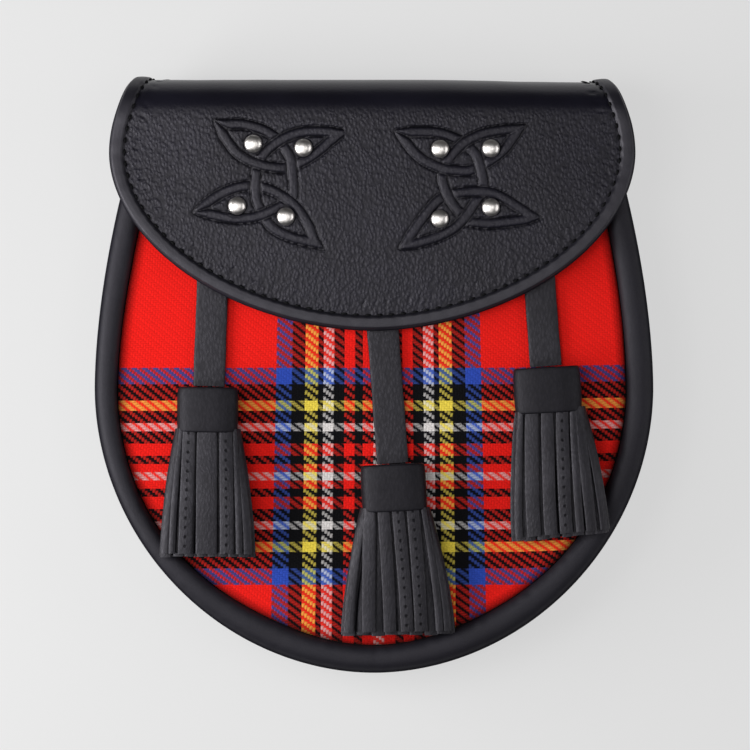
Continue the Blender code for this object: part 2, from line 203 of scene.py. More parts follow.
def setInputs(node, inputs):
    # an input takes a link from another node, or a plain value
    for socket, value in inputs.items():
        if isinstance(value, bpy.types.NodeSocket):
            node.id_data.links.new(value, node.inputs[socket])
        else:
            node.inputs[socket].default_value = value


def newMaterial(name):
    # the material, the function that adds a node to it, and its shader
    material = bpy.data.materials.new(name)
    material.use_nodes = True
    nodes = material.node_tree.nodes

    def addNode(kind, *inputs, **settings):
        # inputs are values in their order, or one dictionary of them
        made = nodes.new("ShaderNode" + kind)
        for setting, value in settings.items():
            setattr(made, setting, value)
        isNamed = inputs and isinstance(inputs[0], dict)
        setInputs(made, inputs[0] if isNamed else dict(enumerate(inputs)))
        return made.outputs

    return material, addNode, nodes["Principled BSDF"]


# A leather's cells, pores, creases and clouds of dye in mm, with the heights of their relief; the turn of its
# grain in degrees, and its stretch; its two dyes; shade of its valleys; roughness of valleys and tops; gloss.
leatherColumns = ("cell", "cellHeight", "pore", "poreHeight", "crease", "creaseHeight", "cloud", "turn",
                  "stretch", "dark", "pale", "valley", "dull", "shiny", "gloss")
tool = {"depth": 0.15, "prickDepth": 0.12, "prickInner": 0.26, "prickOuter": 0.68, "prickShade": 0.3}


def makeLeather(name, values, **extras):
    # grain as raised cells with pores between them; tops worn shiny, valleys dull, dye a little uneven
    look = {**dict(zip(leatherColumns, values)), **extras}
    material, addNode, shader = newMaterial(name)
    place = addNode("TexCoord")["Object"]
    slant = {"Rotation": (0.0, 0.0, math.radians(look["turn"])), "Scale": (1.0, look["stretch"], 1.0)}
    slanted = addNode("Mapping", {"Vector": place, **slant})[0]
    wobble = addNode("TexNoise", {"Vector": place, "Scale": 400 / look["cell"], "Detail": 1.0})[1]
    reach = (0.7 * look["cell"] * mm,) * 3
    wobbled = addNode("VectorMath", wobble, reach, slanted, operation="MULTIPLY_ADD")[0]
    cellForm = {"Vector": wobbled, "Scale": 1000 / look["cell"], "Smoothness": 0.35}
    cells = addNode("TexVoronoi", cellForm, feature="SMOOTH_F1")[0]
    pores = addNode("TexNoise", {"Vector": place, "Scale": 1000 / look["pore"], "Detail": 2.0})[0]
    clouds = addNode("TexNoise", {"Vector": place, "Scale": 1000 / look["cloud"], "Detail": 3.0})[0]
    creaseForm = {"Vector": slanted, "Scale": 1000 / look["crease"], "Detail": 2.0, "Distortion": 0.6}
    creases = addNode("TexNoise", creaseForm)[0]
    tops = addNode("MapRange", cells, 0.15, 0.75, 1.0, 0.0)[0]
    pressed = 1.0
    if "stretched" in look:
        # where the leather is pulled round a fold its pebbles flatten out
        pulled = addNode("Attribute", attribute_name="pulled")["Fac"]
        tops = addNode("Mix", {0: pulled, 2: tops, 3: look["stretched"]})[0]
        creases = addNode("Mix", {0: pulled, 2: creases, 3: 0.5})[0]
        pressed = addNode("MapRange", pulled, 0.6, 0.92, 1.0, 0.75)[0]
    layers = [(tops, look["cellHeight"], False), (creases, look["creaseHeight"], False)]
    layers.append((pores, look["poreHeight"], False))
    dye = addNode("MapRange", clouds, 0.3, 0.7)[0]
    dyed = addNode("Mix", {0: dye, 6: toLinear(look["dark"]), 7: toLinear(look["pale"])}, data_type="RGBA")[2]
    shade = addNode("MapRange", {0: tops, 3: look["valley"]})[0]
    if "tooling" in look:
        # the tool leaves a line far narrower than the mesh's soft mark, and the colour is darkened along it
        soft = addNode("Attribute", attribute_name="tooling")["Fac"]
        line = addNode("MapRange", soft, 0.55, interpolation_type="SMOOTHSTEP")[0]
        cut = addNode("MapRange", {0: line, 3: 1.0, 4: look["tooling"]})[0]
        shade = addNode("Math", shade, cut, operation="MULTIPLY")[0]
        layers.append((line, tool["depth"], True))
    colour = addNode("VectorMath", {0: dyed, "Scale": shade}, operation="SCALE")[0]
    rough = addNode("MapRange", {0: tops, 3: look["dull"], 4: look["shiny"]})[0]
    rough = addNode("Math", rough, pressed, operation="MULTIPLY")[0]
    gloss = look["gloss"]
    if "rubbed" in look:
        # the glaze is rubbed off along the outermost edge, which leaves it dull
        outermost = addNode("Attribute", attribute_name="outermost")["Fac"]
        rough = addNode("Mix", {0: outermost, 2: rough, 3: look["rubbed"]})[0]
        gloss = addNode("Mix", {0: outermost, 2: gloss, 3: 0.05})[0]
    if "pricked" in look:
        # one pricked dot every few millimetres along the middle of the strips that are marked for it
        marks = addNode("Attribute", attribute_name="pricks")["Vector"]
        split = addNode("SeparateXYZ", marks)
        inStep = addNode("Math", split[1], look["pricked"], operation="FLOORED_MODULO")[0]
        fromDot = addNode("Math", inStep, look["pricked"] / 2, operation="SUBTRACT")[0]
        spot = addNode("CombineXYZ", split[0], fromDot)[0]
        away = addNode("VectorMath", spot, operation="LENGTH")["Value"]
        hole = addNode("MapRange", away, tool["prickInner"], tool["prickOuter"], 1.0, 0.0)[0]
        marked = addNode("Math", hole, split[2], operation="MULTIPLY")[0]
        darker = addNode("MapRange", {0: marked, 3: 1.0, 4: tool["prickShade"]})[0]
        colour = addNode("VectorMath", {0: colour, "Scale": darker}, operation="SCALE")[0]
        gloss = addNode("MapRange", {0: marked, 3: gloss, 4: 0.16})[0]
        layers.append((marked, tool["prickDepth"], True))
    normal = {}
    for height, depth, isCut in layers:
        relief = {"Height": height, "Distance": depth * mm, "Strength": 1.0, **normal}
        normal = {"Normal": addNode("Bump", relief, invert=isCut)[0]}
    # black dye bronzes a little: its shine is faintly violet
    setInputs(shader, {"Specular Tint": toLinear("#f9f5ff"), "Specular IOR Level": gloss, "IOR": 1.5})
    setInputs(shader, {"Base Color": colour, "Roughness": rough, **normal})
    return material


# Pebble-grained cowhide, embossed by a hot plate: millimetre pebbles, shiny on top, in slanting rows.
pebbledCowhide = makeLeather("pebbledCowhide", (
    1.0, 0.165, 0.45, 0.04, 3.2, 0.17, 22.0, 36.0, 0.66, "#13121b", "#1b1a25", 0.5, 0.57, 0.42, 0.48
), tooling=0.45, stretched=0.8)
# Smooth cowhide, drum-dyed and glazed: fine pores, an even low shine that shows the roundness of edges.
glazedCowhide = makeLeather("glazedCowhide", (
    0.55, 0.015, 0.3, 0.008, 7.0, 0.12, 30.0, 20.0, 0.7, "#131219", "#1a1921", 0.85, 0.62, 0.56, 0.44
), rubbed=0.85)
# The same leather for the binding, burnished with a hot iron once it is folded, so a little glossier; its
# dyes are paler than the rim's, painted light on the binding.
burnishedPaintedLightCowhide = makeLeather("burnishedPaintedLightCowhide", (
    0.55, 0.015, 0.3, 0.008, 7.0, 0.12, 30.0, 20.0, 0.7, "#17161d", "#201f27", 0.85, 0.5, 0.44, 0.66
), rubbed=0.85)
# Bridle leather, waxed by hand: close grain with a soft bloom.
waxedBridle = makeLeather("waxedBridle", (
    0.9, 0.06, 0.4, 0.03, 2.6, 0.09, 14.0, -15.0, 0.5, "#19181d", "#242329", 0.6, 0.58, 0.44, 0.44
))
# Thin cowhide cut into strips: soft grain, matt, with pricked dots on some of the strips.
tasselHide = makeLeather("tasselHide", (
    0.8, 0.05, 0.35, 0.03, 3.0, 0.08, 10.0, 0.0, 0.5, "#1a191e", "#25242a", 0.6, 0.54, 0.4, 0.44
), pricked=3.2)
# The same hide where it is wound round the heads of the tassels: pulled tight, so its grain is flatter.
tightHide = makeLeather("tightHide", (
    0.8, 0.03, 0.35, 0.02, 5.0, 0.1, 12.0, 0.0, 0.5, "#151419", "#1d1c21", 0.75, 0.56, 0.48, 0.26
))
# Flesh side of split leather: a short matt nap, no shine.
napLeather = makeLeather("napLeather", (
    0.5, 0.05, 0.25, 0.04, 5.0, 0.1, 9.0, 10.0, 0.8, "#1d1b1a", "#2c2a28", 0.7, 0.95, 0.85, 0.2
))


def makeThread(name):
    # waxed linen thread, three-ply twisted: dull black, with the twist as slanting ridges
    material, addNode, shader = newMaterial(name)
    place = addNode("TexCoord")["Object"]
    ply = {"Vector": place, "Scale": 900.0, "Distortion": 1.5}
    twist = addNode("TexWave", ply, bands_direction="DIAGONAL")[1]
    fuzz = addNode("TexNoise", {"Vector": place, "Scale": 3000.0, "Detail": 2.0})[0]
    colour = addNode("Mix", {0: fuzz, 6: toLinear("#08080a"), 7: toLinear("#141416")}, data_type="RGBA")[2]
    bump = addNode("Bump", {"Height": twist, "Distance": 0.05 * mm})[0]
    setInputs(shader, {"Base Color": colour, "Normal": bump, "Roughness": 0.75, "Specular IOR Level": 0.15})
    return material


def makeChrome(name):
    # chromium plate over brass, turned, polished and worn: bright, with a haze that softens what it reflects
    material, addNode, shader = newMaterial(name)
    place = addNode("TexCoord")["Object"]
    haze = addNode("TexNoise", {"Vector": place, "Scale": 900.0, "Detail": 3.0})[0]
    rough = addNode("MapRange", haze, 0.3, 0.7, 0.32, 0.39)[0]
    setInputs(shader, {"Base Color": toLinear("#fdf8f4"), "Metallic": 1.0, "Roughness": rough})
    return material


waxedThread = makeThread("waxedThread")
chromedBrass = makeChrome("chromedBrass")
print("materials made")

# Outline of the body, as in the CAD.

body = {
    "halfWidth": 95.0,
    "widestY": -4.4,
    "drop": 96.9,
    "lowPower": 1.96,
    "mouthY": 84.0,
    "mouthHalfWidth": 80.0,
    "taperPower": 1.745,
    "mouthCorner": 13.0,
}


def bodyHalfWidth(y):
    # half a superellipse below the widest line, and a taper that grows as a power of the height above it
    power = body["lowPower"]
    down = np.clip((body["widestY"] - y) / body["drop"], 0, 1)
    low = body["halfWidth"] * (1 - down**power) ** (1 / power)
    above = np.clip(y - body["widestY"], 0, None) / (body["mouthY"] - body["widestY"])
    return low - (body["halfWidth"] - body["mouthHalfWidth"]) * above ** body["taperPower"]


def bodySide(topY):
    angle = np.linspace(0, math.pi / 2, 400)
    across = np.sin(angle) ** (2 / body["lowPower"])
    down = np.clip(np.cos(angle), 0, 1) ** (2 / body["lowPower"])
    low = np.column_stack((body["halfWidth"] * across, body["widestY"] - body["drop"] * down))
    y = np.linspace(body["widestY"], topY, 80)[1:]
    return np.vstack((low, np.column_stack((bodyHalfWidth(y), y))))


def bodyOutline(topY, corner, spacing=1.0):
    # anticlockwise from the lowest point, with a straight top and rounded top corners
    right = bodySide(topY - corner)
    turn = np.array([float(bodyHalfWidth(np.array(topY))), topY])
    end = turn - (corner, 0.0)
    t = np.linspace(0, 1, 30)[1:, None]
    right = np.vstack((right, right[-1] * (1 - t) ** 2 + turn * 2 * t * (1 - t) + end * t**2))
    whole = np.vstack((right, right[::-1] * (-1, 1)))
    return evenPath(whole, spacing)[:-1]


def slab(outline, edge, middle):
    # a flat piece: rings at (inset, z) along its edge, then rings drawn in towards its middle on both faces
    normals = leftNormals(outline, True)
    rings = [np.column_stack((outline + normals * inset, np.full(len(outline), z))) for inset, z in edge]
    shrinks = np.array((0.97, 0.86, 0.72, 0.58, 0.44, 0.3, 0.16, 0.0))[:, None, None]

    def drawnIn(ring):
        centre = np.array([*middle, ring[0, 2]])
        return centre + (ring - centre) * shrinks

    points = np.concatenate((drawnIn(rings[0])[::-1], rings, drawnIn(rings[-1])))
    return points, gridFaces(*points.shape[:2], False, True)


# Rim: leather rolled over a cord, not quite the same width all round.

rim = {
    "widths": ((-180, 8.6), (-120, 8.4), (-90, 7.6), (-55, 7.0), (-24, 10.0), (0, 8.9), (24, 10.4), (55, 8.7),
               (90, 9.0), (120, 8.6), (180, 8.6)),  # degrees from the lowest point, and mm
    "blurReach": 24,  # mm over which one width passes into the next
    "spread": 0.25,  # how far the roll stands out past the body's outline
    "turnedIn": 8.6,  # most that the leather goes in under the roll
    "footZ": 25.3,
    "outerZ": 28.4,
    "innerZ": 29.7,
    "crestZ": 33.3,
    "power": 2.2,
    "swell": 0.12,
    "pucker": 0.5,
}


def rimWidth(outline):
    angle = np.degrees(np.arctan2(outline[:, 0], -outline[:, 1]))
    degrees, widths = np.array(rim["widths"]).T
    raw = np.interp(angle, degrees, widths)
    reach = rim["blurReach"]
    blur = np.hanning(2 * reach + 1)
    wrapped = np.concatenate((raw[-reach:], raw, raw[:reach]))
    return np.convolve(wrapped, blur / blur.sum(), "valid")


rimOutline = bodyOutline(body["mouthY"], body["mouthCorner"])
rimWidths = rimWidth(rimOutline)


def makeRim():
    outline, width = rimOutline, rimWidths
    walked = np.arange(len(outline)) * 1.0
    inner = np.minimum(width, rim["turnedIn"])
    angle = np.linspace(math.pi, 0, 25)
    reach = signedPower(np.cos(angle), 2 / rim["power"])
    rise = np.clip(np.sin(angle), 0, 1) ** (2 / rim["power"])
    across = width[:, None] * (1 + reach) / 2 - rim["spread"] * (1 - reach) / 2
    base = np.where(angle > math.pi / 2, rim["outerZ"], rim["innerZ"])
    height = base + (rim["crestZ"] - base) * rise
    # the roll isn't quite even along its length, and puckers a little towards its two edges
    swell = waves(walked, (61.0, 37.0, 23.0), 3)[:, None] * rim["swell"]
    pucker = waves(walked, (9.1, 6.3, 4.7), 5)[:, None] * np.abs(reach) ** 3 * rim["pucker"]
    height = height + (swell + pucker) * rise
    # under the roll: from its inner edge, in beneath the cloth's edge, down to its foot and out again
    foot = rim["footZ"]
    under = ((width - 0.35, 29.45), (inner, 29.2), (inner, 27.4), (3.6, foot), (0.6, foot), (0.15, 26.7))
    across = np.column_stack([across] + [inset + 0 * width for inset, z in under])
    height = np.column_stack([height] + [z + 0 * width for inset, z in under])
    place = outline[:, None] + leftNormals(outline, True)[:, None] * across[..., None]
    rings = np.dstack((place, height))
    values = {"outermost": (1 - smoothStep(across, 0.2, 1.3)).ravel()}
    addPiece("rim_roll", [skin(rings, True)], glazedCowhide, ["rim"], values, sharpAngle=60)


makeRim()
print("rim made")

# Tartan front: worsted twill stretched over the board.

tartan = {
    "warpPitch": 0.90,  # mm between warp threads, which run up and down
    "weftPitch": 0.697,
    "pivotX": 1.6,  # middle of the sett, mm
    "pivotY": -34.5,
    "bow": 1.0,  # mm that the threads rise at the far right
    "spread": 0.0006,  # how much the warp spreads for each mm down
    "coreTint": 0.16,  # how much the crossing thread tints the middle of a float, and its sides
    "sideTint": 0.42,
    "fuzz": 0.02,  # light that the hairs of even a black thread send back when it lies under another
    "roundness": 0.14,  # how much a thread's round section narrows its floats
    "softness": 0.46,  # how far the colours of crossing threads run into each other
    "weftShare": 0.2,  # how much further the weft comes up than the warp
    "underRim": 0.25,  # mm that the cloth starts inside the roll
    "rampThreads": 128,  # threads from the middle of the sett to the end of its colour ramp
    "flat": (0.1725, 0.168),
    "flatArea": 0.0251,
}
threadColours = {
    "white": "#f0eae8",
    "red": "#fe2018",
    "black": "#08080b",
    "yellow": "#ffe454",
    "blue": "#3452be",
}
# half the sett from its middle outwards: colour and threads; red goes on to the edge
warpSett = (("white", 2), ("red", 4), ("black", 3), ("red", 4), ("black", 4), ("white", 4), ("black", 2),
            ("yellow", 5), ("black", 5), ("blue", 6), ("red", 40))
weftSett = (("white", 2), ("red", 4), ("black", 4), ("red", 6), ("black", 6), ("white", 4), ("black", 6),
            ("yellow", 5), ("black", 8), ("blue", 8), ("red", 40))


def makeTartan(name):
    # worsted wool in a 2/2 twill: each thread passes over two and under two, one step on in each row, so that
    # slanting ribs run down to the right; matt, with a slight sheen of wool hairs
    material, addNode, shader = newMaterial(name)
    place = addNode("TexCoord")["Object"]
    threads = addNode("Attribute", attribute_name="threads")["Vector"]
    waver = addNode("TexNoise", {"Vector": place, "Scale": 550.0, "Detail": 2.0})[1]
    moved = addNode("VectorMath", waver, (0.5, 0.5, 0.0), threads, operation="MULTIPLY_ADD")[0]
    split = addNode("SeparateXYZ", moved)
    # the waver is 0.25 of a thread in the mean, which is taken off again
    warp = addNode("Math", split[0], 0.25, operation="SUBTRACT")[0]
    weft = addNode("Math", split[1], 0.25, operation="SUBTRACT")[0]
    heights = []
    levels = []
    colours = []
    for own, crossing, sign, sett in ((warp, weft, 0.5, warpSett), (weft, warp, -0.5, weftSett)):
        # each thread rises and falls as a sine over four crossings, and is round across: the higher one shows
        index = addNode("Math", own, operation="FLOOR")[0]
        along = addNode("Math", index, crossing, operation="ADD")[0]
        turn = addNode("Math", along, math.pi / 2, operation="MULTIPLY")[0]
        swing = addNode("Math", turn, operation="SINE")[0]
        lifted = addNode("Math", swing, sign, operation="MULTIPLY")[0]
        part = addNode("Math", own, index, operation="SUBTRACT")[0]
        halfTurn = addNode("Math", part, math.pi, operation="MULTIPLY")[0]
        arch = addNode("Math", halfTurn, operation="SINE")[0]
        rounded = addNode("Math", arch, 0.6, operation="POWER")[0]
        for share, found in ((0.5, heights), (tartan["roundness"], levels)):
            found.append(addNode("Math", rounded, share, lifted, operation="MULTIPLY_ADD")[0])
        # the colour of each thread, counted out from the middle of the sett
        centred = addNode("Math", index, 0.5, operation="ADD")[0]
        outwards = addNode("Math", centred, operation="ABSOLUTE")[0]
        position = addNode("Math", outwards, tartan["rampThreads"], operation="DIVIDE")[0]
        ramp = addNode("ValToRGB", position)[0]
        stops = ramp.node.color_ramp
        stops.interpolation = "CONSTANT"
        start = 0.0
        for k, (colourName, width) in enumerate(sett):
            stop = stops.elements[k] if k < 2 else stops.elements.new(start)
            stop.position = start
            stop.color = toLinear(threadColours[colourName])
            start += width / tartan["rampThreads"]
        colours.append(ramp)
    # wool is hairy, so that one thread's colour passes softly into the next one's
    apart = addNode("Math", levels[0], levels[1], operation="SUBTRACT")[0]
    first = tartan["weftShare"] - tartan["softness"]
    last = tartan["weftShare"] + tartan["softness"]
    warpUp = addNode("MapRange", apart, first, last, interpolation_type="SMOOTHSTEP")[0]
    height = addNode("Mix", {0: warpUp, 2: heights[1], 3: heights[0]})[0]
    over = addNode("Mix", {0: warpUp, 6: colours[1], 7: colours[0]}, data_type="RGBA")[2]
    under = addNode("Mix", {0: warpUp, 6: colours[0], 7: colours[1]}, data_type="RGBA")[2]
    # wool lets some of the crossing thread through, most at a float's sides: a product of powers, as dyes mix
    tint = addNode("MapRange", height, 0.3, 0.95, tartan["sideTint"], tartan["coreTint"])[0]
    rest = addNode("Math", 1.0, tint, operation="SUBTRACT")[0]
    overPart = addNode("Gamma", over, rest)[0]
    fuzzy = addNode("VectorMath", under, (tartan["fuzz"],) * 3, operation="MAXIMUM")[0]
    underPart = addNode("Gamma", fuzzy, tint)[0]
    woven = addNode("VectorMath", overPart, underPart, operation="MULTIPLY")[0]
    # painted shade between threads, hairs, painted shade on the weft where it lies deeper, and painted shade
    # in the seam under the rim
    hairs = addNode("TexNoise", {"Vector": place, "Scale": 2400.0, "Detail": 2.0})[0]
    # seam carries painted shade: the cloth is darkened near its edge under the rim
    seam = addNode("Attribute", attribute_name="seam")["Fac"]
    shade = addNode("MapRange", height, 0.1, 0.8, 0.78, 1.0)[0]
    for source in (
        {0: hairs, 1: 0.3, 2: 0.7, 3: 0.93, 4: 1.04},
        {0: warpUp, 3: 0.95, 4: 1.0},
        {0: seam, 3: 1.0, 4: 0.2},
    ):
        darker = addNode("MapRange", source)[0]
        shade = addNode("Math", shade, darker, operation="MULTIPLY")[0]
    colour = addNode("VectorMath", {0: woven, "Scale": shade}, operation="SCALE")[0]
    bump = addNode("Bump", {"Height": height, "Distance": 0.2 * mm, "Strength": 0.8})[0]
    setInputs(shader, {"Base Color": colour, "Normal": bump, "Roughness": 0.85, "Specular IOR Level": 0.08})
    setInputs(shader, {"Sheen Weight": 0.03, "Sheen Roughness": 0.5})
    return material


worstedTartan = makeTartan("worstedTartan")


def makeCloth():
    inset = rimWidths + tartan["underRim"]
    outline = rimOutline + leftNormals(rimOutline, True) * inset[:, None]
    outline = evenPath(np.vstack((outline, outline[:1])), 1.1)[:-1]
    edge = ((1.2, 29.6), (0.3, 29.65), (0.0, 29.9), (0.0, 30.1), (0.3, 30.36), (0.9, 30.47))
    points, faces = slab(outline, edge, (0.0, -8.0))
    flatPoints = points.reshape(-1, 3)
    x, y = flatPoints[:, 0], flatPoints[:, 1]
    # cloth glued over board: not quite flat
    uneven = waves(x * 0.8 + y * 0.6, (47.0, 31.0), 11) * waves(y * 0.9 - x * 0.4, (53.0, 29.0), 12)
    onFace = flatPoints[:, 2] > 30.3
    flatPoints[:, 2] += np.where(onFace, 0.1 * uneven, 0.0)
    # the threads bow up at the far right, and the warp spreads a little towards the bottom
    bow = tartan["bow"] * smoothStep(x, 42.0, 82.0)
    spread = 1 - tartan["spread"] * (y + 10.0)
    warp = (x - tartan["pivotX"]) / spread / tartan["warpPitch"]
    weft = (y - tartan["pivotY"] - bow) / tartan["weftPitch"]
    threads = np.column_stack((warp, weft, np.zeros_like(warp)))
    fromEdge = np.min(np.hypot(x[:, None] - outline[:, 0], y[:, None] - outline[:, 1]), axis=1)
    # seam is painted shade, strongest at the cloth's edge under the rim and gone within about three
    # millimetres
    values = {"threads": threads, "seam": np.exp(-((fromEdge / 1.7) ** 2))}
    parts = [(flatPoints, faces)]
    cloth = addPiece("tartan_cloth", parts, worstedTartan, ["tartan_front"], values)


makeCloth()
print("tartan made")

# Flap.

flap = {
    "shiftX": -0.6,
    "halfWidth": 89.4,
    "wideY": 75.5,
    "drop": 60.5,
    "edgePower": 1.89,
    "drawIn": 10.1,
    "drawInRun": 44.0,
    "thickness": 2.0,
    "faceZ": 37.0,
    "crown": 2.0,
    "crownRun": 45.0,
    "foldY": 85.4,
    "foldReach": 15.6,
    "foldDrop": 0.8,  # the fold's right end sits lower
    "foldPower": 2.5,  # 2 is a round fold, more is squarer at its shoulder
    "cornerDrop": 1.4,  # how far the upper corners slope away
    "lapZ": 5.2,
    "lapLength": 21.4,
}
foldLength = math.pi * (flap["foldReach"] + (flap["faceZ"] - flap["lapZ"]) / 2) / 2


def flapPoint(x, along, depth):
    # along is Y on the front; past the fold line it is leather length round half an ellipse, then down behind
    across = 1 - (x / flap["halfWidth"]) ** 2
    rising = np.clip((along - flap["wideY"] + flap["drop"]) / flap["crownRun"], 0, 1)
    top = flap["faceZ"] + flap["crown"] * across * np.sin(math.pi / 2 * rising)
    top = top - flap["cornerDrop"] * smoothStep(np.abs(x), 52.0, 88.0) * smoothStep(along, 52.0, 84.0)
    turn = np.clip((along - flap["foldY"]) / foldLength, 0, 1) * math.pi
    # the front half of the fold is a superellipse about the middle of the fold
    power = flap["foldPower"]
    squarer = (np.abs(np.cos(turn)) ** power + np.sin(turn) ** power) ** (-1 / power)
    squarer = np.where(turn < math.pi / 2, squarer, 1.0)
    rise = (top - flap["lapZ"]) / 2
    reach = flap["foldReach"] - flap["foldDrop"] * smoothStep(x, 15.0, 70.0)
    y = np.minimum(along, flap["foldY"]) + (reach * squarer - depth) * np.sin(turn)
    y = y - np.maximum(0, along - flap["foldY"] - foldLength)
    z = flap["lapZ"] + rise + (rise * squarer - depth) * np.cos(turn)
    return np.stack((x + flap["shiftX"] + 0 * z, y + 0 * z, z), axis=-1)


def flapEdge(last, spacing):
    # from the back on the left, down round the tip, to the back on the right, as (x, along)
    angle = np.linspace(-math.pi / 2, 0, 400)
    across = np.clip(np.cos(angle), 0, 1) ** (2 / flap["edgePower"])
    down = np.abs(np.sin(angle)) ** (2 / flap["edgePower"])
    low = np.column_stack((flap["halfWidth"] * across, flap["wideY"] - flap["drop"] * down))
    along = np.linspace(flap["wideY"], last, 160)[1:]
    part = np.clip((along - flap["wideY"]) / flap["drawInRun"], 0, 1)
    width = flap["halfWidth"] - flap["drawIn"] * (1 - np.cos(math.pi * part)) / 2
    right = np.vstack((low, np.column_stack((width, along))))
    return evenPath(np.vstack((right[:0:-1] * (-1, 1), right)), spacing)


edgeStitch = {"inset": 5.3, "pitch": 4.0, "length": 2.3, "width": 0.76}
# loose ends of thread at the fold: from (x, along) to (x, along), both on the flap
threadEnds = ((-75.2, 101.5, -69.2, 111.5), (74.7, 102.7, 71.3, 108.5), (79.6, 103.5, 76.6, 105.5))


lapEnd = flap["foldY"] + foldLength + flap["lapLength"]
bindingEnd = flap["foldY"] + foldLength + 5.4
# the line of the stitches, moved in from the flap's edge, and their places an even pitch apart along it
rawEdge = flapEdge(bindingEnd, fineStep)
stitchLine = evenPath(rawEdge + leftNormals(rawEdge) * edgeStitch["inset"], fineStep)
lineWalk = np.arange(len(stitchLine)) * fineStep
stitchAt = np.arange(edgeStitch["pitch"] / 2, lineWalk[-1], edgeStitch["pitch"])
stitchPlaces = pointsAt(stitchAt, lineWalk, stitchLine)

# Two knots, each one closed band that crosses itself six times. Points of their middle lines in photo pixels;
# the tips where two strands meet are sharp.
photoScale = 0.34  # mm for one photo pixel
photoMiddle = (374.0, 375.0)  # the photo pixel at the origin
knots = {
    "left": {
        "lowerArc": "214,120 230,144 238.5,154 249,160.7 259,164.7 269.5,167.2 284.5,168.5 300,163.5 "
        "311,157.5 322,149.5 333,140 350,132",
        "rightTie": "214,120 228,124.5 243,125 258,128.5 270,134 279,141 286,150 291,160 293,175 294,190 "
        "293,198 287,204 278,208.5 268,213 255,217.5 238,219 224,217.5 210,214.5 193,213",
        "leftTie": "350,132 335,133 318,132 302,133 289,137 278,143 269,150 262,158 258,166 256.5,176 "
        "256,190 257,200 261,210 266,219 272,227 282,233.5 295,238.5 309,242 325,250",
        "upperArc": "193,213 205,205 217,197 230,190.5 243,187 256,186.5 270,190 282,196 294,205 303,216 "
        "310,228 314,238 325,250",
        "overUnder": (
            ("leftTie", "rightTie", 278.5, 142.0), ("lowerArc", "leftTie", 258.5, 165.3),
            ("rightTie", "lowerArc", 292.0, 166.5), ("leftTie", "upperArc", 256.0, 187.0),
            ("upperArc", "rightTie", 290.0, 202.0), ("rightTie", "leftTie", 264.0, 214.3),
        ),
    },
    "right": {
        "lowerArc": "393.5,131 406,143 414,152.5 424,161 434,166 446,170 457,171 470,171 487,163 497,156.5 "
        "506,148 514,137 526.7,125",
        "rightTie": "393.5,131 410,132.5 428,132.5 441,134 453,138 464,144 474,153 479,164 483,182 482,192 "
        "475,203 468,214 461,222.5 453,229.5 441,236 428,240.5 414,244.5 398,249.5",
        "leftTie": "526.7,125 512,129.5 497,131.5 484,134 473,138.5 464,143.5 457,150 450,158 445,166 "
        "442,178 445,190 451,202 459,212.5 467,220.5 475,223 491,224 507,222.5 522,220.5 "
        "542,218",
        "upperArc": "398,249.5 409,238 418,225 428,212 438,201 447,196 459,193.5 478,192 493,194 506,200 "
        "517,207 528,213.5 542,218",
        "overUnder": (
            ("leftTie", "rightTie", 464.0, 144.0), ("lowerArc", "leftTie", 445.0, 170.0),
            ("rightTie", "lowerArc", 480.0, 167.0), ("leftTie", "upperArc", 447.5, 196.0),
            ("upperArc", "rightTie", 482.0, 192.3), ("rightTie", "leftTie", 464.5, 218.0),
        ),
    },
}
tooling = {
    "bandHalf": 1.75,
    "grooveWidth": 0.5,
    "grooveDepth": 0.4,
    "markWidth": 0.7,
    "crown": 0.24,
    "tipRun": 6.0,  # mm over which a strand narrows to its tip
    "spacing": 0.3,
    "crossingReach": 5.2,  # how far from a crossing, and from a tip, the lower strand may be hidden
    "tipReach": 11.0,
}
strandNames = ("lowerArc", "rightTie", "leftTie", "upperArc")


def fromPhoto(x, y):
    return (np.asarray(x) - photoMiddle[0]) * photoScale, (photoMiddle[1] - np.asarray(y)) * photoScale


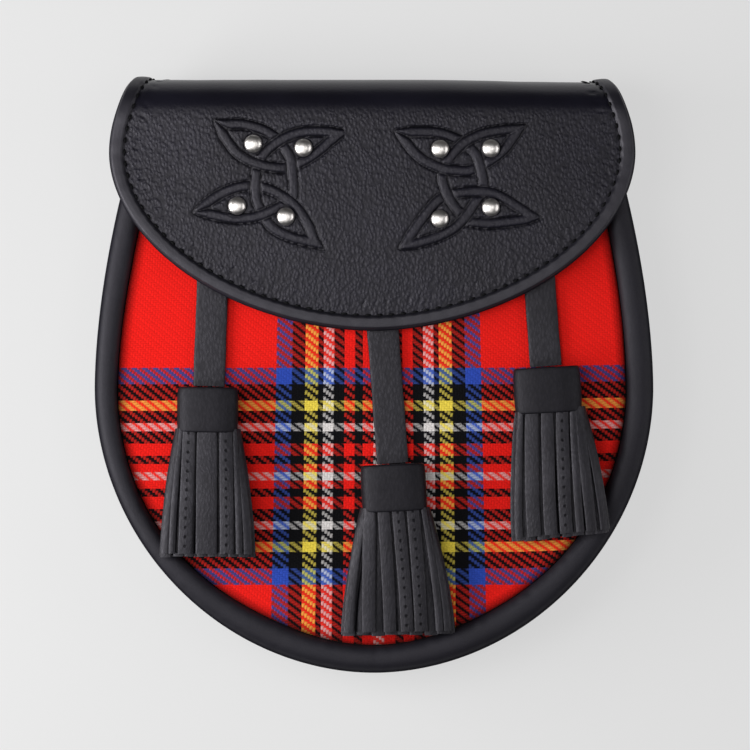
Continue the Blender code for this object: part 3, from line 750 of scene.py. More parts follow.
def knotRelief(x, y, knot):
    # height, mark and smoothness: a groove follows each edge of a strand, and stops where another one crosses
    found = {}
    for name in strandNames:
        pairs = np.array([pair.split(",") for pair in knot[name].split()], dtype=float)
        path = evenPath(smoothPath(np.column_stack(fromPhoto(*pairs.T))), tooling["spacing"])
        gaps = (x[:, None] - path[:, 0]) ** 2 + (y[:, None] - path[:, 1]) ** 2
        nearest = gaps.argmin(axis=1)
        distance = np.sqrt(gaps[np.arange(len(x)), nearest])
        fromEnd = np.minimum(nearest, len(path) - 1 - nearest) * tooling["spacing"]
        half = tooling["bandHalf"] * np.clip(fromEnd / tooling["tipRun"], 0.0, 1.0) ** 0.75
        found[name] = {
            "distance": distance,
            "half": half,
            "groove": np.exp(-(((distance - half) / tooling["grooveWidth"]) ** 2)),
            "mark": np.exp(-(((distance - half) / tooling["markWidth"]) ** 2)),
            "inside": smoothStep(-distance, -half + 0.1, -half + 0.7),
            "cover": smoothStep(-distance, -half - 0.75, -half - 0.25),
            "ends": path[[0, -1]],
            "hidden": np.zeros(len(x)),
        }
    for over, under, px, py in knot["overUnder"]:
        cx, cy = fromPhoto(px, py)
        near = np.exp(-(((x - cx) ** 2 + (y - cy) ** 2) / tooling["crossingReach"] ** 2) ** 2)
        found[under]["hidden"] = np.maximum(found[under]["hidden"], near * found[over]["cover"])
    for first in strandNames:
        for second in strandNames:
            for end in found[first]["ends"]:
                if first != second and np.linalg.norm(found[second]["ends"] - end, axis=1).min() < 0.5:
                    gap = (x - end[0]) ** 2 + (y - end[1]) ** 2
                    near = np.exp(-((gap / tooling["tipReach"] ** 2) ** 2))
                    hide = near * found[second]["inside"]
                    found[first]["hidden"] = np.maximum(found[first]["hidden"], hide)
    strands = found.values()
    groove = np.max([f["groove"] * (1 - f["hidden"]) for f in strands], axis=0)
    mark = np.max([f["mark"] * (1 - f["hidden"]) for f in strands], axis=0)
    across = np.min([f["distance"] / np.maximum(f["half"], 0.2) for f in strands], axis=0)
    crown = np.clip(1 - across**4, 0, 1)
    return tooling["crown"] * crown - tooling["grooveDepth"] * groove, mark, np.clip(2 * crown, 0, 1)


studs = {
    "radius": 3.05,
    "height": 1.65,
    "left": ((-40.9, 78.4), (-23.9, 77.0), (-46.4, 57.3), (-29.9, 53.7)),
    "right": ((22.4, 76.6), (39.6, 76.8), (39.6, 56.8), (22.3, 52.9)),
}


def flapRelief(x, along):
    # for flat arrays: how far the grain side stands proud, the tooling mark, and how smooth the leather is
    height = np.zeros_like(x)
    mark = np.zeros_like(x)
    smooth = np.zeros_like(x)
    trueX = x + flap["shiftX"]
    for side, knot in knots.items():
        lowX, highX = (-66.0, -10.0) if side == "left" else (2.0, 62.0)
        near = (trueX > lowX) & (trueX < highX) & (along > 38.0) & (along < 93.0)
        height[near], mark[near], smooth[near] = knotRelief(trueX[near], along[near], knot)
    for side in ("left", "right"):
        for cx, cy in studs[side]:
            away = np.hypot(trueX - cx, along - cy)
            height -= 0.4 * np.exp(-(((away - studs["radius"] - 0.1) / 0.7) ** 2))
            height = np.where(away < studs["radius"], np.minimum(height, -0.1), height)
            mark = np.maximum(mark, np.exp(-(((away - studs["radius"]) / 0.6) ** 2)))
    # each stitch pulls a dent into the leather and a faint crease inwards from it
    tangent = unit(np.gradient(stitchLine, axis=0))
    index = np.clip(np.round(stitchAt / fineStep).astype(int), 0, len(stitchLine) - 1)
    run = tangent[index]
    edgeZone = (np.abs(x) > 30) | (along < 60) | (along > 80)
    zx, za = x[edgeZone], along[edgeZone]
    pulled = np.zeros_like(zx)
    jitter = np.random.default_rng(21).uniform(0.3, 1.0, len(stitchPlaces))
    for k, (sx, sa) in enumerate(stitchPlaces):
        alongIt = (zx - sx) * run[k, 0] + (za - sa) * run[k, 1]
        inwards = -(zx - sx) * run[k, 1] + (za - sa) * run[k, 0]
        pulled += 0.3 * np.exp(-((alongIt / 1.4) ** 2) - (inwards / 0.7) ** 2)
        crease = ((alongIt - 1.2 - 0.3 * inwards) / 0.5) ** 2 + ((inwards - 3.8) / 1.3) ** 2
        pulled += 0.38 * jitter[k] * np.exp(-crease)
    height[edgeZone] -= pulled
    # slack leather: broad soft swells
    swell = waves(x * 0.8 + along * 0.5, (38.0, 23.0, 14.0), 31)
    height += 0.12 * swell * waves(along * 0.9 - x * 0.3, (33.0, 19.0), 32)
    return height, mark, smooth


flapGrid = {"inset": 1.3, "lowEnd": 33.6, "straightFrom": 84.0, "halfColumns": 184, "rows": 228, "coarser": 4}


def makeFlap():
    # a grid over all the leather: its lowest row is the round of the tip, and its rows straighten upwards
    edge = flapEdge(lapEnd, fineStep)
    line = edge + leftNormals(edge) * flapGrid["inset"]
    middle = int(np.argmin(line[:, 1]))
    right = line[middle:]
    right = np.vstack(((0.0, right[0, 1]), right[1:]))
    lowCount = int(np.argmax(right[:, 1] > flapGrid["lowEnd"]))
    low, side = right[: lowCount + 1], right[lowCount:]
    startAlong = side[0, 1]
    q = np.interp(np.linspace(0, 1, flapGrid["halfColumns"] + 1), (0, 0.78, 1), (0, 0.67, 1))
    lowLine = evenPath(low, 0.1)
    lowX, lowY = pointsAt(q * (len(lowLine) - 1), np.arange(len(lowLine)), lowLine).T
    lowX = np.concatenate((-lowX[:0:-1], lowX))
    lowY = np.concatenate((lowY[:0:-1], lowY))
    q = np.concatenate((-q[:0:-1], q))
    stretch = np.linspace(0, 1, flapGrid["rows"] + 1)
    stretch = np.interp(stretch, (0, 0.04, 0.66, 0.9, 1), (startAlong, 39.5, 91.0, 134.0, side[-1, 1]))
    sideX = np.interp(stretch, side[:, 1], side[:, 0])[:, None]
    s = stretch[:, None]
    risen = np.clip((s - startAlong) / (flapGrid["straightFrom"] - startAlong), 0, 1)
    blend = 0.5 + 0.5 * np.cos(math.pi * risen)
    x = blend * lowX * sideX / sideX[0] + (1 - blend) * q * sideX
    along = s + blend * (lowY - startAlong)
    height, mark, smooth = (found.reshape(x.shape) for found in flapRelief(x.ravel(), along.ravel()))
    outer = flapPoint(x, along, -height)
    # the flesh side is a coarser grid; a strip of faces joins the two all round
    step = flapGrid["coarser"]
    inner = flapPoint(x[::step, ::step], along[::step, ::step], flap["thickness"])

    def aroundEdge(grid):
        return np.concatenate((grid[0, :-1], grid[:-1, -1], grid[-1, :0:-1], grid[:0:-1, 0]))

    fineEdge = aroundEdge(outer)
    coarseEdge = aroundEdge(inner)
    nearest = ((np.arange(len(fineEdge)) + step // 2) // step) % len(coarseEdge)
    strip = np.stack((fineEdge, coarseEdge[nearest]))
    parts = [
        (outer, gridFaces(*outer.shape[:2])),
        (inner, gridFaces(*inner.shape[:2])),
        (strip, gridFaces(2, len(fineEdge), False, True)),
    ]
    zeros = np.zeros(inner.size // 3 + strip.size // 3)
    atFold = smoothStep(along, 86.5, 92.5) * smoothStep(-along, -118.0, -108.0)
    pulled = np.maximum(0.92 * atFold, 0.6 * smooth)
    values = {
        "tooling": np.concatenate((mark.ravel(), zeros)),
        "pulled": np.concatenate((pulled.ravel(), zeros)),
    }
    addPiece("flap_leather", parts, pebbledCowhide, ["flap"], values)


binding = {
    "spacing": 0.8,
    "sewnEdge": 4.95,  # mm from the flap's edge to the strip's own edges
    "bendStart": 1.6,
    "grooveDepth": 0.26,
    "grooveAt": 0.6,
    "grooveHalf": 0.2,
    "pinch": 0.3,  # how far each stitch pulls the strip in
    "swell": 0.06,
}


def makeBinding():
    # a strip folded over the edge, a U in section; a groove along the bend shows where its layers meet
    edge = flapEdge(bindingEnd, binding["spacing"])
    # middle line of the section as (distance from the edge, depth below the flap's face), from its sewn edge
    # on the front, round the bend, to its sewn edge behind
    flat = np.linspace(binding["sewnEdge"], binding["bendStart"], 14)
    lift = -0.12 - 0.5 * smoothStep(-flat, -4.95, -4.25) - 0.12 * smoothStep(-flat, -4.5, -2.4)
    turn = np.linspace(-math.pi / 2, -math.pi, 13)[1:]
    bend = np.column_stack((1.5 + 1.0 * np.cos(turn), 0.95 + 1.69 * np.sin(turn)))
    half = np.vstack((np.column_stack((flat, lift)), bend))
    mid = np.vstack((half, (half * (1, -1) + (0, flap["thickness"]))[::-1]))
    thick = np.interp(mid[:, 0], (0.5, 2.6, 4.2, 4.95), (1.0, 0.95, 0.8, 0.45))
    section = stripSection(mid, thick, 2.4)
    isFace = (section[:, 1] < 0.8) & (section[:, 0] < 2.6)
    fromGroove = (section[:, 0] - binding["grooveAt"]) / binding["grooveHalf"]
    groove = np.where(isFace, binding["grooveDepth"] * np.exp(-(fromGroove**2)), 0.0)
    walked = np.arange(len(edge)) * binding["spacing"]
    lineLength = np.linalg.norm(np.diff(stitchLine, axis=0), axis=1).sum()
    # stitches sit where the inset line passes this station
    pitch = edgeStitch["pitch"]
    fromFirst = walked / walked[-1] * lineLength - stitchAt[0]
    toStitch = np.abs((fromFirst + pitch / 2) % pitch - pitch / 2)
    sewn = smoothStep(section[:, 0], 3.9, 4.9) * (section[:, 1] < 0)
    pinch = binding["pinch"] * np.exp(-((toStitch / 1.2) ** 2))
    depth = section[:, 1] + groove + pinch[:, None] * sewn
    swell = binding["swell"] * waves(walked, (17.0, 9.0, 5.5), 41)[:, None]
    depth = depth + np.where(section[:, 1] < 0, swell, 0.0)
    place = edge[:, None] + leftNormals(edge)[:, None] * section[None, :, :1]
    rings = flapPoint(place[..., 0], place[..., 1], depth)
    outermost = np.repeat(1 - smoothStep(section[None, :, 0], 0.1, 0.9), len(rings) + 4, axis=0)
    values = {"outermost": outermost.ravel()}
    parts = [skin(rings)]
    replaced = ["flap_binding"]
    addPiece("flap_edge_binding", parts, burnishedPaintedLightCowhide, replaced, values, sharpAngle=60)


def stitchPart(firstEnds, lastEnds, up, width, rise, sink):
    # each stitch is a short thread that comes up out of one hole and goes down into the next
    rows, count = 7, 8
    t = np.linspace(0, 1, rows)
    middle = firstEnds[:, None] + (lastEnds - firstEnds)[:, None] * t[None, :, None]
    arch = rise * np.sin(math.pi * t) - sink * (1 - np.sin(math.pi * t))
    middle = middle + up[:, None] * arch[None, :, None]
    run = unit(lastEnds - firstEnds)
    side = unit(np.cross(run, up))
    angle = np.linspace(0, 2 * math.pi, count, endpoint=False)
    thick = width / 2 * np.array([0.0, 0.75, 0.97, 1.0, 0.97, 0.75, 0.0])
    rises = 0.8 * np.sin(angle)[:, None]
    offset = side[:, None, None] * np.cos(angle)[:, None] + up[:, None, None] * rises
    points = middle[:, :, None] + offset * thick[None, :, None, None]
    one = gridFaces(rows, count, False, True)
    faces = (one[None] + (np.arange(len(points)) * rows * count)[:, None, None]).reshape(-1, 4)
    return points.reshape(-1, 3), faces


def makeFlapStitches():
    half = edgeStitch["length"] / 2
    first = pointsAt(stitchAt - half, lineWalk, stitchLine).T
    last = pointsAt(stitchAt + half, lineWalk, stitchLine).T
    level, below = -0.2, flap["thickness"] + 1.35
    up = unit(flapPoint(*stitchPlaces.T, -1.0) - flapPoint(*stitchPlaces.T, 0.0))
    width = edgeStitch["width"]
    top = stitchPart(flapPoint(*first, level), flapPoint(*last, level), up, width, 0.2, 0.4)
    under = stitchPart(flapPoint(*first, below), flapPoint(*last, below), -up, width, 0.1, 0.4)
    ends = np.array(threadEnds).T
    middle = (ends[:2] + ends[2:]) / 2
    upwards = unit(flapPoint(*middle, -1.0) - flapPoint(*middle, 0.0))
    loose = stitchPart(flapPoint(*ends[:2], 0.3), flapPoint(*ends[2:], -0.35), upwards, 0.75, 0.25, 0.0)
    addPiece("flap_stitches", [top, under, loose], waxedThread, mergeAt=0.004)


makeFlap()
makeBinding()
makeFlapStitches()
print("flap made")

# Studs and the press stud.


def turned(profile, centre, count=40):
    # a profile of (radius, z) spun round an upright axis
    angle = np.linspace(0, 2 * math.pi, count, endpoint=False)
    radius, z = np.array(profile).T
    x = centre[0] + radius[:, None] * np.cos(angle)
    y = centre[1] + radius[:, None] * np.sin(angle)
    points = np.dstack((x, y, centre[2] + np.repeat(z[:, None], count, axis=1)))
    return points, gridFaces(len(profile), count, False, True)


def makeStuds():
    angle = np.linspace(math.pi / 2, 0, 15)
    dome = [(studs["radius"] * math.cos(a), studs["height"] * math.sin(a)) for a in angle]
    dome[0] = (0.0, studs["height"])
    profile = dome + [(studs["radius"] - 0.05, -0.25), (studs["radius"] - 0.4, -0.35), (0.0, -0.35)]
    for side in ("left", "right"):
        for number, (x, y) in enumerate(studs[side], 1):
            z = float(flapPoint(np.array(x - flap["shiftX"]), np.array(y), 0.0)[2]) + 0.3
            name = f"stud_{side}_{number}"
            addPiece("domed_" + name, [turned(profile, (x, y, z))], chromedBrass, [name])


pressStud = {"place": (-0.6, 36.0), "footZ": 30.8, "gap": 0.3}


def makePressStud():
    # cap sewn under the flap, socket on the cloth: a small round fastener
    x, y = pressStud["place"]
    low = pressStud["footZ"]
    high = float(flapPoint(np.array(0.0), np.array(y), flap["thickness"])[2]) - pressStud["gap"]
    cap = [(0, high), (4.6, high), (5.0, high - 0.3), (5.0, high - 0.9), (4.2, high - 1.2), (3.4, high - 1.5)]
    socket = [(3.3, low + 1.2), (4.4, low + 1.0), (5.0, low + 0.6), (5.0, low + 0.25), (4.7, low), (0.0, low)]
    fastener = turned(cap + socket, (x, y, 0.0))
    addPiece("snap_fastener", [fastener], chromedBrass, ["press_stud"], sharpAngle=35)


makeStuds()
makePressStud()
print("studs made")

# Tassels.

tasselForm = {
    "strapWidth": 10.8,
    "strapThickness": 2.0,
    "bandHeight": 11.0,
    "floorZ": 30.8,
    "stripThickness": 1.3,
    # layers behind the front strips: depth, number of strips, how far they fill the width, longest
    "layers": ((2.0, 8, 0.94, 1.036), (4.3, 8, 0.94, 1.03), (6.4, 7, 1.12, 1.034)),
    "left": {
        "strapTop": (-54.4, 45.0),
        "bandTop": (-56.2, -4.1),
        "bandEnd": (-56.4, -19.4),
        "hem": (-56.8, -60.5),
        "bandWidth": 21.4,
        "hemWidth": 32.0,
        "hemLift": 3.2,
        # front strips: middle at the band and at the hem, width, all in mm from the axis, and 1 if pricked
        "strips": ((-10.0, -14.2, 3.0, 0), (-9.0, -11.6, 2.4, 0), (-6.1, -7.1, 4.7, 1), (-0.1, 0.0, 7.2, 0),
                   (6.2, 7.0, 4.7, 1), (9.3, 11.2, 2.4, 0), (10.2, 14.2, 3.2, 0)),
    },
    "centre": {
        "strapTop": (2.2, 26.0),
        "bandTop": (6.4, -30.3),
        "bandEnd": (7.2, -46.2),
        "hem": (7.9, -87.0),
        "bandWidth": 22.8,
        "hemWidth": 38.0,
        "hemLift": 0.2,
        "strips": ((-10.6, -16.5, 3.6, 0), (-8.6, -9.6, 4.6, 0), (-4.0, -2.5, 4.3, 0), (0.9, 3.3, 4.4, 1),
                   (5.9, 8.1, 4.5, 1), (9.7, 14.3, 2.6, 0), (10.8, 17.2, 3.0, 0)),
    },
    "right": {
        "strapTop": (55.3, 45.0),
        "bandTop": (58.5, 2.7),
        "bandEnd": (59.4, -12.8),
        "hem": (63.4, -53.7),
        "bandWidth": 23.6,
        "hemWidth": 33.4,
        "hemLift": 3.2,
        "strips": ((-9.9, -14.3, 2.8, 0), (-5.9, -9.2, 4.8, 0), (-0.8, -3.4, 4.4, 0), (4.3, 1.7, 4.4, 1),
                   (8.2, 6.4, 2.8, 0), (10.2, 10.2, 3.8, 0), (11.2, 15.0, 3.4, 0)),
    },
}


def planRun(row, first, last):
    start, end = np.array(row[first]), np.array(row[last])
    run = unit(end - start)
    return start, end, run, np.array([-run[1], run[0]])


def makeStrap(side, row):
    start, end, run, across = planRun(row, "strapTop", "bandTop")
    t = np.linspace(0, np.linalg.norm(end - start) - 0.3, 50)
    centres = np.column_stack((start + t[:, None] * run, np.full(len(t), tasselForm["floorZ"] + 1.0)))
    width = tasselForm["strapWidth"] + 0.16 * waves(t, (31.0, 13.0), 51)
    section = flatSection(tasselForm["strapWidth"], tasselForm["strapThickness"] - 0.1, 0.12, 9, 3.4)
    sections = np.repeat(section[None], len(t), axis=0)
    sections[..., 0] *= (width / tasselForm["strapWidth"])[:, None]
    rings = ribbon(centres, np.array([*across, 0.0]), np.array([0.0, 0.0, 1.0]), sections)
    addPiece(f"thong_{side}", [skin(rings)], waxedBridle, [f"strap_{side}"])


def makeBand(side, row):
    # leather wound round the tassel's head: it overlaps itself at the lower right, out of sight
    start, end, run, across = planRun(row, "bandTop", "bandEnd")
    count, power = 72, 2.5
    angle = 2 * math.pi * (np.arange(count) + 0.5) / count
    sideways = signedPower(np.cos(angle), 2 / power)
    rise = signedPower(np.sin(angle), 2 / power)
    half, low, height = row["bandWidth"] / 2, tasselForm["floorZ"], tasselForm["bandHeight"]
    part = np.array([0.0, 0.0, 0.012, 0.035, 0.08, 0.2, 0.4, 0.6, 0.8, 0.92, 0.965, 0.988, 1.0, 1.0])
    swell = np.array([0.76, 0.9, 0.945, 0.965, 0.98, 0.995, 1.0, 1.0, 0.995, 0.985, 0.975, 0.955, 0.91, 0.76])
    seam = math.radians(-38)
    lap = ((angle - seam) % (2 * math.pi)) / (2 * math.pi)
    wrap = 1 - 0.045 * (1 - lap) + 0.012 * np.sin(3 * angle)
    middle = start + (end - start) * part[:, None]
    spread = swell[:, None] * wrap
    place = middle[:, None] + across * (half * spread * sideways)[..., None]
    z = low + height / 2 + height / 2 * spread * rise
    rings = np.dstack((place, z))
    # the ends are hollow by a leather's thickness
    sunk = rings[[0, -1]].copy()
    sunk[0, :, :2] += run * 1.0
    sunk[1, :, :2] -= run * 1.0
    rings = np.concatenate((sunk[:1], rings, sunk[1:]))
    replaced = [f"band_{side}"]
    addPiece(f"wound_band_{side}", [skin(rings)], tightHide, replaced, sharpAngle=40)


def makeStrips(side, row, seed):
    # cut strips hang from under the band in layers, over a flaring form with a superellipse for its section
    draw = np.random.default_rng(seed)
    end, bandDirection = planRun(row, "bandTop", "bandEnd")[1:3]
    head = end - bandDirection * 1.2
    hem = np.array(row["hem"])
    run = unit(hem - head)
    across = np.array([-run[1], run[0]])
    length = np.linalg.norm(hem - head)
    topHalf, hemHalf = row["bandWidth"] * 0.47, row["hemWidth"] / 2
    thickness = tasselForm["stripThickness"]
    strips = [(top, low, width, pricked, 0.0, 1.0) for top, low, width, pricked in row["strips"]]
    for depth, count, fill, longest in tasselForm["layers"]:
        places = np.linspace(-0.86, 0.86, count) + draw.uniform(-0.04, 0.04, count)
        width = 2 * hemHalf * fill / count
        for k, place in enumerate(places):
            # the deepest strips overlap one another, so no cloth shows between them
            low = depth + (0.7 if fill > 1 and k % 2 else 0.0)
            ends = place * topHalf * 0.95, place * hemHalf * 0.98
            strips.append((*ends, width, 0, low, draw.uniform(1.02, longest)))
    parts, marks = [], []
    stations = 18
    part = np.linspace(0, 1, stations)
    for top, low, width, pricked, depth, longer in strips:
        t = part * longer
        flare = 1 - np.clip(1 - t, 0, 1) ** 1.5
        form = topHalf + (hemHalf - topHalf) * flare
        floorZ = tasselForm["floorZ"] + row["hemLift"] * smoothStep(t, 0.0, 0.62)
        deep = 9.9 - 1.9 * t
        curl = draw.uniform(-0.35, 0.35) * np.sin(math.pi * t * draw.uniform(0.8, 1.6))
        offset = top + (low - top) * flare + curl * 0.5
        u = np.clip(np.abs(offset) / (form + 0.6), 0, 0.97)
        bulge = (1 - u**3.2) ** (1 / 3.2)
        topZ = floorZ + deep / 2 * (1 + bulge)
        slope = -np.sign(offset) * deep / 2 / form * u**2.2 * (1 - u**3.2) ** (1 / 3.2 - 1)
        tilt = np.arctan(slope) * (1 - depth / 9) + draw.uniform(-0.1, 0.1) * t
        z = topZ - depth * (0.35 + 0.65 * bulge) - thickness / 2 / np.cos(tilt)
        z = np.maximum(z, floorZ + thickness / 2 + np.abs(np.sin(tilt)) * width / 2)
        centres = np.column_stack((head + run * (t * length)[:, None] + across * offset[:, None], z))
        acrossTilted = np.column_stack((np.cos(tilt)[:, None] * across, np.sin(tilt)))
        upTilted = np.column_stack((-np.sin(tilt)[:, None] * across, np.cos(tilt)))
        narrow = 1 - 0.1 * np.exp(-t / 0.08)
        section = flatSection(width, thickness, 0.15, 7, 4.0)
        sections = section[None] * np.stack((narrow, np.ones_like(narrow)), axis=1)[:, None]
        rings = ribbon(centres, acrossTilted, upTilted, sections)
        parts.append(skin(rings))
        mark = np.zeros((stations + 4, len(section), 3))
        mark[2:-2, :, 0] = sections[..., 0]
        mark[..., 1] = np.concatenate(([0, 0], t * length, [length] * 2))[:, None] + draw.uniform(0, 3)
        mark[..., 2] = pricked
        marks.append(mark.reshape(-1, 3))
    addPiece(f"cut_strips_{side}", parts, tasselHide, [f"tassel_{side}"],
             {"pricks": np.concatenate(marks)}, sharpAngle=40)


for number, side in enumerate(("left", "centre", "right")):
    makeStrap(side, tasselForm[side])
    makeBand(side, tasselForm[side])
    makeStrips(side, tasselForm[side], 70 + number)
print("tassels made")

# Back, sides and belt loops.

gusset = {"inset": 1.2, "dip": 1.8, "thickness": 2.0, "lowZ": 10.3, "highZ": 25.0, "topY": 73.0}


def makeGusset():
    # an upright strip drawn in along its middle, with soft buckles where the leather goes round the curve
    right = bodySide(gusset["topY"])
    path = evenPath(np.vstack((right[:0:-1] * (-1, 1), right)), 1.2)
    walked = np.arange(len(path)) * 1.2
    part = np.linspace(0, 1, 13)
    buckle = waves(walked, (29.0, 17.0, 11.0), 61)[:, None] * np.sin(math.pi * part) ** 2
    outer = gusset["inset"] + gusset["dip"] * np.sin(math.pi * part) ** 0.9 + 0.55 * buckle
    z = np.broadcast_to(gusset["lowZ"] + (gusset["highZ"] - gusset["lowZ"]) * part, outer.shape)
    across = np.concatenate((outer, outer[:, ::-1] + gusset["thickness"]), axis=1)
    height = np.concatenate((z, z[:, ::-1]), axis=1)
    normals = leftNormals(path)
    rings = np.dstack((path[:, None] + normals[:, None] * across[..., None], height))
    addPiece("gusset_strip", [skin(rings)], glazedCowhide, ["gusset"])
    # two rows of stitches hold it to the back panel and to the rim
    parts = []
    fine = evenPath(path, fineStep)
    fineNormals = leftNormals(fine)
    at = np.arange(3.0, len(fine) * fineStep - 3.0, 4.0)
    index = np.round(at / fineStep).astype(int)
    for partUp in (0.12, 0.88):
        inset = gusset["inset"] + gusset["dip"] * math.sin(math.pi * partUp) ** 0.9 - 0.05
        zHere = gusset["lowZ"] + (gusset["highZ"] - gusset["lowZ"]) * partUp
        ends = []
        for shift in (-4, 4):
            k = index + shift
            ends.append(np.column_stack((fine[k] + fineNormals[k] * inset, np.full(len(k), zHere))))
        up = np.column_stack((-fineNormals[index], np.zeros(len(index))))
        parts.append(stitchPart(ends[0], ends[1], up, 0.8, 0.25, 0.4))
    addPiece("gusset_stitches", parts, waxedThread, mergeAt=0.004)


def stitchRow(points, z, pitch, length):
    # stitches along a flat line at a height, seen from below
    path = evenPath(np.asarray(points, dtype=float), fineStep)
    at = np.arange(pitch / 2, (len(path) - 1) * fineStep - length / 2, pitch)
    ends = []
    for shift in (-length / 2, length / 2):
        k = np.clip(np.round((at + shift) / fineStep).astype(int), 0, len(path) - 1)
        ends.append(np.column_stack((path[k], np.full(len(k), z))))
    return stitchPart(*ends, np.tile((0.0, 0.0, -1.0), (len(at), 1)), 0.8, 0.3, 0.4)


back = {"topY": 77.0, "corner": 6.5, "inset": 0.6, "seam": 3.1, "lapY": 61.0, "pitch": 4.0, "stitch": 2.0}


def makeBack():
    outline = bodyOutline(back["topY"], back["corner"])
    outline = outline + leftNormals(outline, True) * back["inset"]
    edge = ((3.9, 7.5), (3.4, 7.58), (3.1, 7.72), (2.8, 7.58), (2.4, 7.5), (0.8, 7.52), (0.25, 7.7),
            (0.0, 8.2), (0.0, 9.3), (0.25, 9.8), (0.8, 10.0), (2.0, 10.0))
    panel = slab(outline, edge, (0.0, -10.0))
    addPiece("back_leather", [panel], glazedCowhide, ["back_panel"])
    line = outline + leftNormals(outline, True) * back["seam"]
    line = evenPath(np.vstack((line, line[:1])), fineStep)
    isCovered = line[:, 1] >= back["lapY"]
    firstFree = int(np.argmax(isCovered))
    lastFree = len(line) - int(np.argmax(isCovered[::-1]))
    # round the free edge, then two rows that hold the lap down
    rows = ((line[:firstFree], 7.55), (line[lastFree:], 7.55),
            (((-72.0, 67.4), (71.0, 67.4)), 5.15), (((-72.0, 70.4), (71.0, 70.4)), 5.15))
    parts = [stitchRow(row, z, back["pitch"], back["stitch"]) for row, z in rows]
    addPiece("back_stitches", parts, waxedThread, mergeAt=0.004)


beltLoop = {
    "x": 41.0,
    "width": 22.0,
    "lowY": -38.0,
    "highY": 62.0,
    "pad": 10.0,  # the length that lies on the back panel at each end
    "slope": 9.0,
    "thickness": 1.9,
    "padZ": 6.2,
    "standOff": 5.2,
    "corner": 2.5,
    "stitchPitch": 3.4,
    "stitchLength": 2.0,
}


def makeBeltLoops():
    # a strap with both ends flat on the back panel, held off it between them by the depth of a belt
    y = np.linspace(beltLoop["lowY"], beltLoop["highY"], 140)
    fromEnd = np.minimum(y - beltLoop["lowY"], beltLoop["highY"] - y)
    ease = smoothStep(fromEnd, beltLoop["pad"], beltLoop["pad"] + beltLoop["slope"])
    z = beltLoop["padZ"] - beltLoop["standOff"] * ease
    run = unit(np.column_stack((np.gradient(y), np.gradient(z))))
    up = np.column_stack((np.zeros_like(y), -run[:, 1], run[:, 0]))
    corner = beltLoop["corner"]
    rounded = np.sqrt(np.clip(1 - (1 - np.clip(fromEnd / corner, 0, 1)) ** 2, 0, 1))
    width = beltLoop["width"] / 2 - corner + corner * rounded
    section = flatSection(beltLoop["width"], beltLoop["thickness"], 0.0, 11, 3.0)
    sections = np.repeat(section[None], len(y), axis=0)
    sections[..., 0] *= (width / (beltLoop["width"] / 2))[:, None]
    for side, x in (("left", -beltLoop["x"]), ("right", beltLoop["x"])):
        centres = np.column_stack((np.full_like(y, x), y, z))
        rings = ribbon(centres, np.array([1.0, 0.0, 0.0]), up, sections)
        addPiece(f"loop_strap_{side}", [skin(rings)], waxedBridle, [f"belt_loop_{side}"])
        parts = []
        for low in (beltLoop["lowY"] + 1.8, beltLoop["highY"] - beltLoop["pad"] + 1.2):
            high, left, right = low + 7.0, x - 8.6, x + 8.6
            corners = ((left, low), (right, low), (right, high), (left, high), (left, low))
            crossed = (((left, low), (right, high)), ((left, high), (right, low)))
            for ends in (*zip(corners[:-1], corners[1:]), *crossed):
                parts.append(stitchRow(ends, 5.2, beltLoop["stitchPitch"], beltLoop["stitchLength"]))
        addPiece(f"loop_stitches_{side}", parts, waxedThread, mergeAt=0.004)


makeGusset()
makeBack()
makeBeltLoops()
board = bpy.data.objects["front_board"]
board.material_slots[0].material = napLeather
print("back and sides made")

# Floor, light and camera.

stage = {"floor": "#7c7c7c", "glow": 0.59, "world": "#8a8a8a", "worldStrength": 0.04}


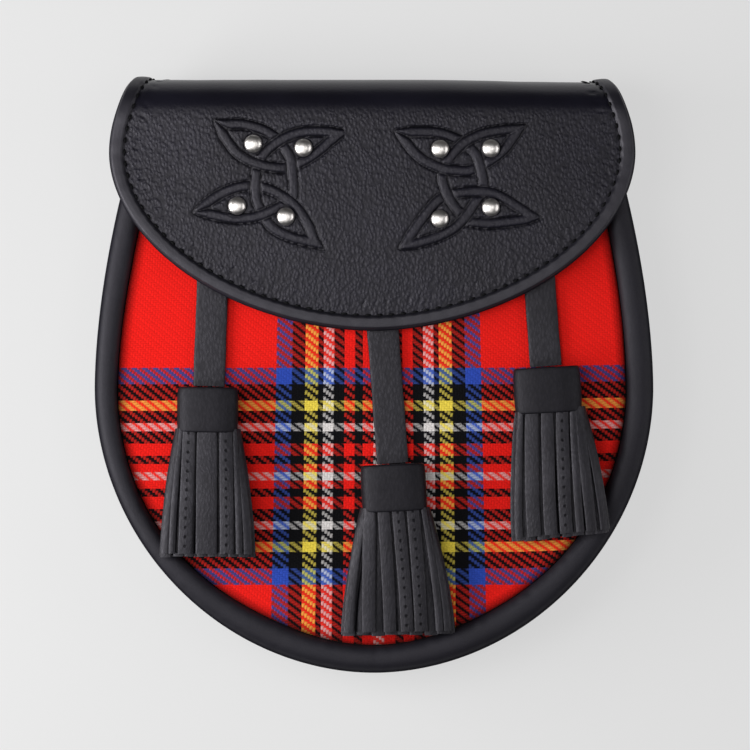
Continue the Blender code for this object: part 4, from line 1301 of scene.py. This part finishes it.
def makeStage():
    mesh = bpy.data.meshes.new("table")
    half, top = 4.0, -0.0002
    corners = [(-half, -half, top), (half, -half, top), (half, half, top), (-half, half, top)]
    mesh.from_pydata(corners, [], [(0, 1, 2, 3)])
    floor = addObject("table", mesh)
    # a shooting table of opal acrylic, lit from below: pale and even, with weak shadows
    material, _, shader = newMaterial("opalAcrylic")
    setInputs(shader, {"Base Color": toLinear(stage["floor"]), "Roughness": 0.9})
    setInputs(shader, {"Emission Color": (1.0, 1.0, 1.0, 1.0), "Emission Strength": stage["glow"]})
    mesh.materials.append(material)
    world = bpy.data.worlds.new("studio")
    bpy.context.scene.world = world
    world.use_nodes = True
    sky = {"Color": toLinear(stage["world"]), "Strength": stage["worldStrength"]}
    setInputs(world.node_tree.nodes["Background"], sky)


lights = {
    # place in metres, size in metres, brightness of its face, and whether it is aimed at the pouch or level
    "softboxLeft": ((-0.48, -0.04, 0.27), (0.42, 0.25), 7.4, True),
    "stripLeft": ((-0.30, -0.04, 0.56), (0.42, 0.25), 2.3, True),
    "stripRight": ((0.62, 0.0, 0.42), (0.5, 0.35), 1.8, True),
    "panelLeft": ((-0.16, 0.05, 0.6), (0.2, 0.2), 4.6, False),
    "panelRight": ((0.16, 0.05, 0.6), (0.2, 0.2), 2.2, False),
    "panelFront": ((0.0, -0.25, 0.62), (0.3, 0.2), 1.1, True),
}


def makeLights():
    for name, (place, size, brightness, isAimed) in lights.items():
        light = bpy.data.lights.new(name, "AREA")
        light.shape = "RECTANGLE"
        light.size, light.size_y = size
        light.energy = brightness * math.pi * size[0] * size[1]
        lamp = addObject(name, light)
        lamp.location = place
        lamp.visible_camera = False
        x, y, z = place
        if isAimed:
            lamp.rotation_euler = (math.atan2(math.hypot(x, y), z), 0.0, math.atan2(x, -y))


view = {"place": (0.00034, 0.0, 1.533), "distance": 1500.0, "pixels": 750}  # metres, mm and the photo's width


def makeCamera():
    # straight down on the front, far enough off that the view is nearly parallel
    lens = bpy.data.cameras.new("camera")
    lens.sensor_width = 36.0
    lens.lens = lens.sensor_width * view["distance"] / (view["pixels"] * photoScale)
    camera = addObject("camera", lens)
    camera.location = view["place"]
    bpy.context.scene.camera = camera
    bpy.context.scene.view_settings.view_transform = "Standard"


makeStage()
makeLights()
makeCamera()
print("stage set")
